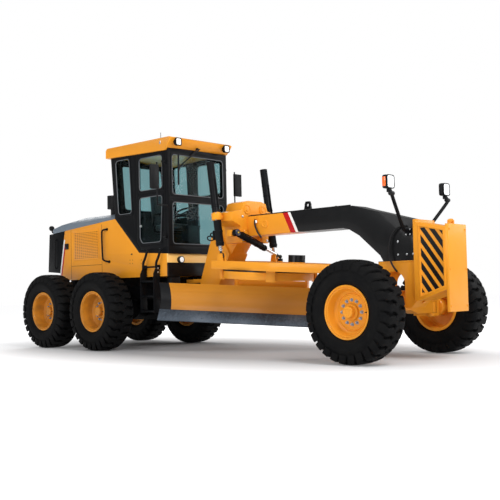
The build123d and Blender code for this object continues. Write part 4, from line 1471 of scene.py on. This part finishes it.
makeLiftParts()

shiftTrim = {
    "head": (0.805, -0.520, 1.880),
    "axis": (0.0, 0.943, -0.333),
    "up": (0.0, 0.333, 0.943),
    "tube": 0.046,
    "capAt": (0.8505, -0.520, 1.880),
    "cap": [(0.0, 0.0), (0.054, 0.0), (0.054, 0.004), (0.046, 0.010), (0.0, 0.012)],
    "plugAt": (0.8620, -0.520, 1.880),
    "plug": [(0.0, 0.0), (0.013, 0.0), (0.011, 0.005), (0.0, 0.006)],
    # pipe on the tube: along the axis, out from the tube
    "line": [(0.110, 0.006), (0.130, 0.016), (0.560, 0.016), (0.590, 0.004)],
    "lineRadius": 0.009,
    "bands": (0.130, 0.300, 0.470, 0.600, 0.660),
    "bandWide": 0.020,
    "bandProud": 0.005,
    "ports": (0.130, 0.590),
    "portOut": 0.004,
    "portHalf": (0.020, 0.020, 0.014),
}


# Centre-shift cylinder: capped head with its grease plug, port pipe and clamps
def makeShiftParts():
    head, axis, up = Vector(shiftTrim["head"]), Vector(shiftTrim["axis"]), Vector(shiftTrim["up"])
    r = shiftTrim["tube"]
    body = nodes["shift_barrel"]["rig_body"]
    give(turned(shiftTrim["cap"], shiftTrim["capAt"], (1, 0, 0), 32), body, "cap", "shiftCap")
    plug = turned(shiftTrim["plug"], shiftTrim["plugAt"], (1, 0, 0), 20)
    give(plug, body, "dot", "shiftPlug")
    line = [head + axis * reach + up * (r + out) for reach, out in shiftTrim["line"]]
    parts = [pipe(line, shiftTrim["lineRadius"], 3)]
    for reach in shiftTrim["bands"]:
        start, end = head + axis * reach, head + axis * (reach + shiftTrim["bandWide"])
        parts.append(rod(start, end, r + shiftTrim["bandProud"], 0.003, 28))
    for reach in shiftTrim["ports"]:
        spot = head + axis * reach + up * (r + shiftTrim["portOut"])
        parts.append(boxAt(spot, shiftTrim["portHalf"], 0.004))
    gave(parts, body, "black", "shiftParts")


makeShiftParts()

blockTrim = {
    "eyeAt": (4.285, 0.0, 1.815),
    "eye": [(0.0205, -0.0215), (0.050, -0.0215), (0.053, 0.0), (0.050, 0.0215), (0.0205, 0.0215)],
    "bolts": [(4.3755, 0.205, 1.720), (4.3755, 0.205, 1.200), (4.3755, 0.205, 0.720)],
    "boltSize": 0.011,
    "frame": [(3.945, 1.780), (4.295, 1.705), (4.295, 0.985), (3.945, 0.860)],
    "lipY": 0.2375,
    "lip": (0.024, 0.002),      # margins of its outer and inner edge
    "lipCorner": 0.010,
    "lipThick": 0.006,
}


# Round lifting eye, bolt heads on the plate and a raised lip round the warning bands
def makeBlockParts():
    amber = [turned(blockTrim["eye"], blockTrim["eyeAt"], (1, 0, 0), 32)]
    bolts = []
    for hand in (-1, 1):
        y = hand * blockTrim["lipY"]
        edges = []
        for margin in blockTrim["lip"]:
            outline = roundOff(grown(blockTrim["frame"], margin), blockTrim["lipCorner"])
            edges.append([(x, y, z) for x, z in outline])
        amber.append(surround(*edges, blockTrim["lipThick"]))
        bolts += [bolt(spot, (1, 0, 0), blockTrim["boltSize"]) for spot in sided(blockTrim["bolts"], hand)]
    gave(amber, frontBody, "paint", "blockTrim")
    gave(bolts, frontBody, "paint", "plateBolts")


makeBlockParts()

axle = {
    "kingpin": (3.465, 0.790),      # x and distance to the side of each kingpin
    "lug": (0.554, 0.806),          # heights of its caps
    "cap": [(0.0, 0.0), (0.052, 0.0), (0.052, 0.008), (0.040, 0.016), (0.0, 0.018)],
    "nipple": (0.016, 0.034),       # heights above the upper cap's foot
    "nippleRadius": 0.007,
    "boltReach": 0.036,
    "boltUp": 0.008,
    "boltSize": 0.008,
    "tieNut": ((3.215, 0.600, 0.602), (3.215, 0.655, 0.602), 0.024, 0.004, 20),
}


# Caps and grease nipples on the kingpins, nuts on the tie rod's ends
def makeAxleParts():
    x, y = axle["kingpin"]
    low, high = axle["lug"]
    nippleLow, nippleHigh = axle["nipple"]
    for hand, sideName in ((1, "left"), (-1, "right")):
        body = nodes["knuckle_" + sideName]["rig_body"]
        foot = Vector((x, hand * y, high))
        tip = foot + Vector((0, 0, nippleHigh))
        parts = [turned(axle["cap"], foot, (0, 0, 1), 28),
                 turned(axle["cap"], (x, hand * y, low), (0, 0, -1), 28),
                 rod(foot + Vector((0, 0, nippleLow)), tip, axle["nippleRadius"], 0.001, 10)]
        gave(parts, body, "paint", "pinCaps." + sideName)
        bolts = [bolt(foot + Vector((reach, 0, axle["boltUp"])), (0, 0, 1), axle["boltSize"])
                 for reach in (-axle["boltReach"], axle["boltReach"])]
        gave(bolts, body, "zinc", "capBolts." + sideName)
    body = nodes["tie_rod"]["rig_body"]
    nuts = [sideRod(*axle["tieNut"], hand) for hand in (-1, 1)]
    gave(nuts, body, "black", "tieRodNuts")


makeAxleParts()

blade = {
    "ahead": (0.5, -cos(radians(30)), 0.0),
    "bolts": 17,
    "rows": (0.30, 0.72),       # share of the edge's height
    "head": [(0.0, -0.002), (0.015, -0.002), (0.0135, 0.0035), (0.006, 0.0050), (0.0, 0.0050)],
}


# Plough bolts in two rows through the cutting edge, found from the edge's own front face
def makeBladeParts():
    ahead = Vector(blade["ahead"])
    edge = nodes["cutting_edge"]
    fronts = [f for f in edge.data.polygons if f.normal.dot(ahead) > 0.3]
    widest = max(fronts, key=lambda f: f.area)
    normal = widest.normal.copy()
    corners = [edge.data.vertices[v].co for f in fronts if f.normal.dot(normal) > 0.999 for v in f.vertices]
    up = -min(edge.data.polygons, key=lambda f: f.normal.z).normal
    across = normal.cross(up)
    origin = corners[0]
    spans = [((c - origin).dot(across), (c - origin).dot(up)) for c in corners]
    left, right = min(s[0] for s in spans), max(s[0] for s in spans)
    low, high = min(s[1] for s in spans), max(s[1] for s in spans)
    heads = []
    for row in blade["rows"]:
        for n in range(blade["bolts"]):
            share = (n + 0.5) / blade["bolts"]
            spot = origin + across * (left + (right - left) * share) + up * (low + (high - low) * row)
            heads.append(turned(blade["head"], spot, normal, 14))
    gave(heads, edge["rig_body"], "nutDark", "edgeBolts")


makeBladeParts()

# On the left side
tandem = {
    "bolts": 7,
    "bolt": (-3.300, 0.955, 0.8905),
    "boltPitch": 0.180,
    "boltSize": 0.011,
    "cover": ((-3.360, 0.905, 0.8895), (-2.150, 1.005, 0.8975), 0.003),
    "plug": ((-2.755, 0.955, 0.455), (-2.755, 0.955, 0.470), 0.030, 0.003, 20),
}


# Covers with a row of bolts on top of the tandem cases, drain plugs under them
def makeTandemParts():
    x, y, z = tandem["bolt"]
    parts, heads = [], []
    for hand in (-1, 1):
        for n in range(tandem["bolts"]):
            heads.append(bolt((x + n * tandem["boltPitch"], hand * y, z), (0, 0, 1), tandem["boltSize"]))
        parts += [sideBox(*tandem["cover"], hand), sideRod(*tandem["plug"], hand)]
    body = nodes["tandem_cases"]["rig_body"]
    gave(parts, body, "chassis", "tandemCovers")
    gave(heads, body, "zinc", "tandemBolts")


makeTandemParts()

rearTrim = {
    # on the left side
    "tail": ((-4.241, 0.555, 1.455), (-4.215, 0.645, 1.545), 0.008),
    "turn": ((-4.241, 0.555, 1.550), (-4.215, 0.645, 1.640), 0.008),
    "case": ((-4.231, 0.545, 1.442), (-4.211, 0.655, 1.652), 0.006),
    "rail": [(-3.930, 0.684, 1.480), (-3.930, 0.725, 1.485), (-3.925, 0.725, 1.560), (-3.925, 0.725, 1.960),
             (-3.930, 0.725, 2.030), (-3.930, 0.684, 2.035)],
    "railRadius": 0.013,
    "shadeFiller": ((-0.760, 0.400, 1.120), (-0.660, 0.600, 1.245), 0.006),     # a black box in the gap under the cab's floor: painted shade
    "bolts": [(-4.3755, 0.560, 1.020), (-4.3755, 0.560, 0.900)],
    "boltSize": 0.020,
    # the lamp, its stalk and the catch have no twin
    "stalk": [(-4.080, -0.600, 2.165), (-4.125, -0.620, 2.175), (-4.150, -0.630, 2.200),
              (-4.155, -0.632, 2.225)],
    "stalkRadius": 0.014,
    "lampAt": (-4.155, -0.632, 2.270),
    "lamp": [(0.0, -0.030), (0.030, -0.028), (0.048, -0.010), (0.052, 0.020), (0.048, 0.032), (0.0, 0.032)],
    "faceAt": (-4.186, -0.632, 2.270),
    "face": [(0.0, 0.0), (0.043, 0.0), (0.040, 0.006), (0.0, 0.010)],
    "catch": ((-4.235, -0.030, 1.940), (-4.217, 0.030, 1.990), 0.006),
}


# Tail lamps, rear handrails, lamp, catch and bolts of the rear housing
def makeRearParts():
    gave(bothSides(box(*rearTrim["tail"])), rearBody, "red", "tailLamps")
    gave(bothSides(box(*rearTrim["turn"])), rearBody, "orange", "rearTurnLamps")
    parts = []
    rail = pipe(rearTrim["rail"], rearTrim["railRadius"])
    for made in (box(*rearTrim["case"]), rail, box(*rearTrim["shadeFiller"])):
        parts += bothSides(made)
    lamp = turned(rearTrim["lamp"], rearTrim["lampAt"], (-1, 0, 0), 28)
    parts += [pipe(rearTrim["stalk"], rearTrim["stalkRadius"]), lamp, box(*rearTrim["catch"])]
    gave(parts, rearBody, "plastic", "rearFittings")
    face = turned(rearTrim["face"], rearTrim["faceAt"], (-1, 0, 0), 28)
    give(face, rearBody, "lens", "rearLampFace")
    bolts = [bolt(spot, (-1, 0, 0), rearTrim["boltSize"])
             for hand in (-1, 1) for spot in sided(rearTrim["bolts"], hand)]
    gave(bolts, rearBody, "zinc", "rearBolts")


makeRearParts()
print("front, cylinders and rear trimmed")


# Wheels: modelled at the origin with the axle along y and the outside towards +y, then copied to their places
wheelPlaces = {}
for node in nodes:
    if node.startswith("tyre_"):
        low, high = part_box(node)
        middle = (Vector(low) + Vector(high)) / 2
        turn = Matrix.Rotation(pi if node.endswith("right") else 0, 4, "Z")
        wheelPlaces[node[5:]] = Matrix.Translation((middle.x, middle.y, middle.z)) @ turn

tyre = {
    "steps": 96,
    "lugs": 28,             # each side
    "skew": 9.0,            # degrees round the wheel, from the middle to the shoulder
    "wave": 2.6,            # degrees that a lug snakes from its straight line
    "draft": 0.007,
    "crest": (0.007, 0.006),    # width and drop of the lug's worn edges
    "closing": 0.004,       # how far its ends lean out
    "round": 0.66,          # radius at which its widths are measured
    # the carcass in section as (along the axle, radius), from the middle to the bead
    "carcass": [(0.0, 0.637), (0.09, 0.635), (0.150, 0.628), (0.178, 0.612), (0.196, 0.585), (0.206, 0.552),
                (0.2125, 0.505), (0.2165, 0.492), (0.2175, 0.480), (0.2155, 0.470), (0.214, 0.440),
                (0.207, 0.405), (0.204, 0.396), (0.197, 0.390), (0.186, 0.372), (0.1655, 0.3565),
                (0.1655, 0.3225)],
    # along a lug as (along the axle, radius of its top, half width), from the middle to the shoulder
    "lug": [(-0.030, 0.6742, 0.030), (0.010, 0.675, 0.043), (0.055, 0.6745, 0.050), (0.105, 0.673, 0.050),
            (0.150, 0.669, 0.049), (0.182, 0.659, 0.050), (0.203, 0.640, 0.053), (0.2120, 0.612, 0.054),
            (0.2160, 0.580, 0.052), (0.2175, 0.556, 0.046)],
    "floor": [(-0.030, 0.630), (0.150, 0.622), (0.182, 0.603), (0.200, 0.570), (0.206, 0.540)],
}


# A value of a short table of (place, value), straight between its places
def along(table, where):
    for (a, va), (b, vb) in zip(table, table[1:]):
        if where <= b:
            share = max(0.0, (where - a) / (b - a))
            return va + (vb - va) * share
    return table[-1][1]


# One bar of the tread, snaking from the middle over the shoulder; its end rows drop to the tyre
def makeLug():
    rows = tyre["lug"]
    count = len(rows) + 2
    bpy.ops.mesh.primitive_grid_add(x_subdivisions=5, y_subdivisions=count - 1, size=1)
    piece = bpy.context.object
    mesh = piece.data
    end = rows[-1][0]
    draft, (crestIn, crest) = tyre["draft"], tyre["crest"]
    for i in range(count):
        s, top, half = rows[min(max(i - 1, 0), len(rows) - 1)]
        low = along(tyre["floor"], s)
        share = max(0.0, s / end)
        middle = radians(tyre["skew"] * share + tyre["wave"] * sin(2 * pi * share))
        shape = [(-half - draft, low), (-half, top - crest), (crestIn - half, top), (half - crestIn, top),
                 (half, top - crest), (half + draft, low)]
        reach = s
        if i in (0, count - 1):
            shape = [(across, low) for across, radius in shape]
            reach += tyre["closing"] if i else -tyre["closing"]
        for j, (across, radius) in enumerate(shape):
            angle = middle + across / tyre["round"]
            mesh.vertices[i * len(shape) + j].co = (radius * sin(angle), reach, radius * cos(angle))
    edit(piece)
    bpy.ops.mesh.normals_make_consistent(inside=False)
    leave()
    # outwards is away from the axle
    face = max(mesh.polygons, key=lambda p: p.area)
    outward = Vector((face.center.x, 0, face.center.z))
    if face.normal.dot(outward) < 0:
        mesh.flip_normals()
    return piece


def makeTyre():
    half = [(r, s) for s, r in tyre["carcass"]]
    outline = [(r, -s) for r, s in reversed(half)] + half[1:]
    bars = [turned(outline, (0, 0, 0), (0, 1, 0), tyre["steps"], 50)]
    lug = makeLug()
    pitch = 2 * pi / tyre["lugs"]
    for n in range(tyre["lugs"]):
        bars.append(copied(lug, "lug", Matrix.Rotation(n * pitch, 4, "Y")))
        bars.append(copied(lug, "lug", Matrix.Rotation((n + 0.5) * pitch, 4, "Y") @ mirrorY))
    bpy.data.objects.remove(lug)
    return smooth(joined(bars, "tyre"), 42)


rim = {
    # disc face along the axle, and the hub's back, for the two kinds
    "front": {"disc": 0.046, "back": -0.170},
    "rear": {"disc": -0.040, "back": -0.264},
    "steps": 88,
    "nuts": 12,
    "nutCircle": 0.156,
    # washer, nut and stud: start and end off the disc, radius, softness, sides
    "nutParts": [(-0.002, 0.005, 0.022275, 0.001, 16), (0.004, 0.026, 0.0165, 0.002, 6),
                 (0.020, 0.036, 0.009075, 0.002, 10)],
    "valveTurn": -90.0,     # degrees from straight up
    "valveCircle": 0.313,
    # foot and stem: start and end along the axle, radius, share of the circle at the end, sides
    "valveParts": [(0.155, 0.1765, 0.0075, 1.0, 14), (0.170, 0.196, 0.0045, 0.985, 12)],
}


# Rolled flange, stepped well, ringed dish and hub cap, as (radius, along the axle)
def rimOutline(disc, back):
    return [(0.0625, back), (0.118, back), (0.130, back + 0.012), (0.130, disc - 0.022),
            (0.262, disc - 0.022), (0.300, disc - 0.045), (0.308, -0.168), (0.312, -0.177),
            (0.346, -0.180), (0.350, -0.176), (0.350, -0.171), (0.322, -0.166), (0.322, 0.166),
            (0.350, 0.171), (0.350, 0.176), (0.346, 0.180),
            (0.330, 0.180), (0.326, 0.176), (0.323, 0.166), (0.315, 0.164), (0.312, 0.172), (0.305, 0.171),
            (0.300, 0.160), (0.294, disc + 0.070), (0.288, disc + 0.052), (0.278, disc + 0.020),
            (0.262, disc + 0.006), (0.244, disc), (0.236, disc + 0.008), (0.226, disc + 0.008), (0.218, disc),
            (0.130, disc), (0.112, disc + 0.003), (0.108, disc + 0.030), (0.100, disc + 0.038),
            (0.084, disc + 0.040), (0.080, disc + 0.046), (0.078, disc + 0.098), (0.070, disc + 0.108),
            (0.046, disc + 0.110), (0.043, disc + 0.106), (0.0, disc + 0.106), (0.0, disc + 0.040),
            (0.0625, disc + 0.040)]


def makeRim(kind):
    return turned(rimOutline(**rim[kind]), (0, 0, 0), (0, 1, 0), rim["steps"], 30)


# Hexagonal nuts with their washers and studs
def makeNuts(kind):
    disc = rim[kind]["disc"]
    parts = []
    for n in range(rim["nuts"]):
        turn = 2 * pi * n / rim["nuts"]
        x, z = rim["nutCircle"] * sin(turn), rim["nutCircle"] * cos(turn)
        for start, end, radius, soft, sides in rim["nutParts"]:
            parts.append(rod((x, disc + start, z), (x, disc + end, z), radius, soft, sides))
    return joined(parts, "nuts")


def makeValve():
    turn = radians(rim["valveTurn"])
    x, z = rim["valveCircle"] * sin(turn), rim["valveCircle"] * cos(turn)
    parts = []
    for start, end, radius, lean, sides in rim["valveParts"]:
        parts.append(rod((x, start, z), (x * lean, end, z * lean), radius, 0.001, sides))
    return joined(parts, "valve")


tyreShape = makeTyre()
rimShapes = {kind: (makeRim(kind), makeNuts(kind)) for kind in ("front", "rear")}
valveShape = makeValve()
for name, place in wheelPlaces.items():
    rimShape, nutShape = rimShapes["front" if name.startswith("front") else "rear"]
    body = nodes["tyre_" + name]["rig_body"]
    give(copied(tyreShape, "tyre." + name, place), body, "rubber", replaces=("tyre_" + name,))
    body = nodes["rim_" + name]["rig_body"]
    give(copied(rimShape, "rim." + name, place), body, "rim", replaces=("rim_" + name,))
    give(copied(nutShape, "nuts." + name, place), body, "nut")
    give(copied(valveShape, "valve." + name, place), body, "plastic")
for shape in (tyreShape, valveShape, *rimShapes["front"], *rimShapes["rear"]):
    bpy.data.objects.remove(shape)
print("wheels made:", len(wheelPlaces))

addCamera()
addStudio()
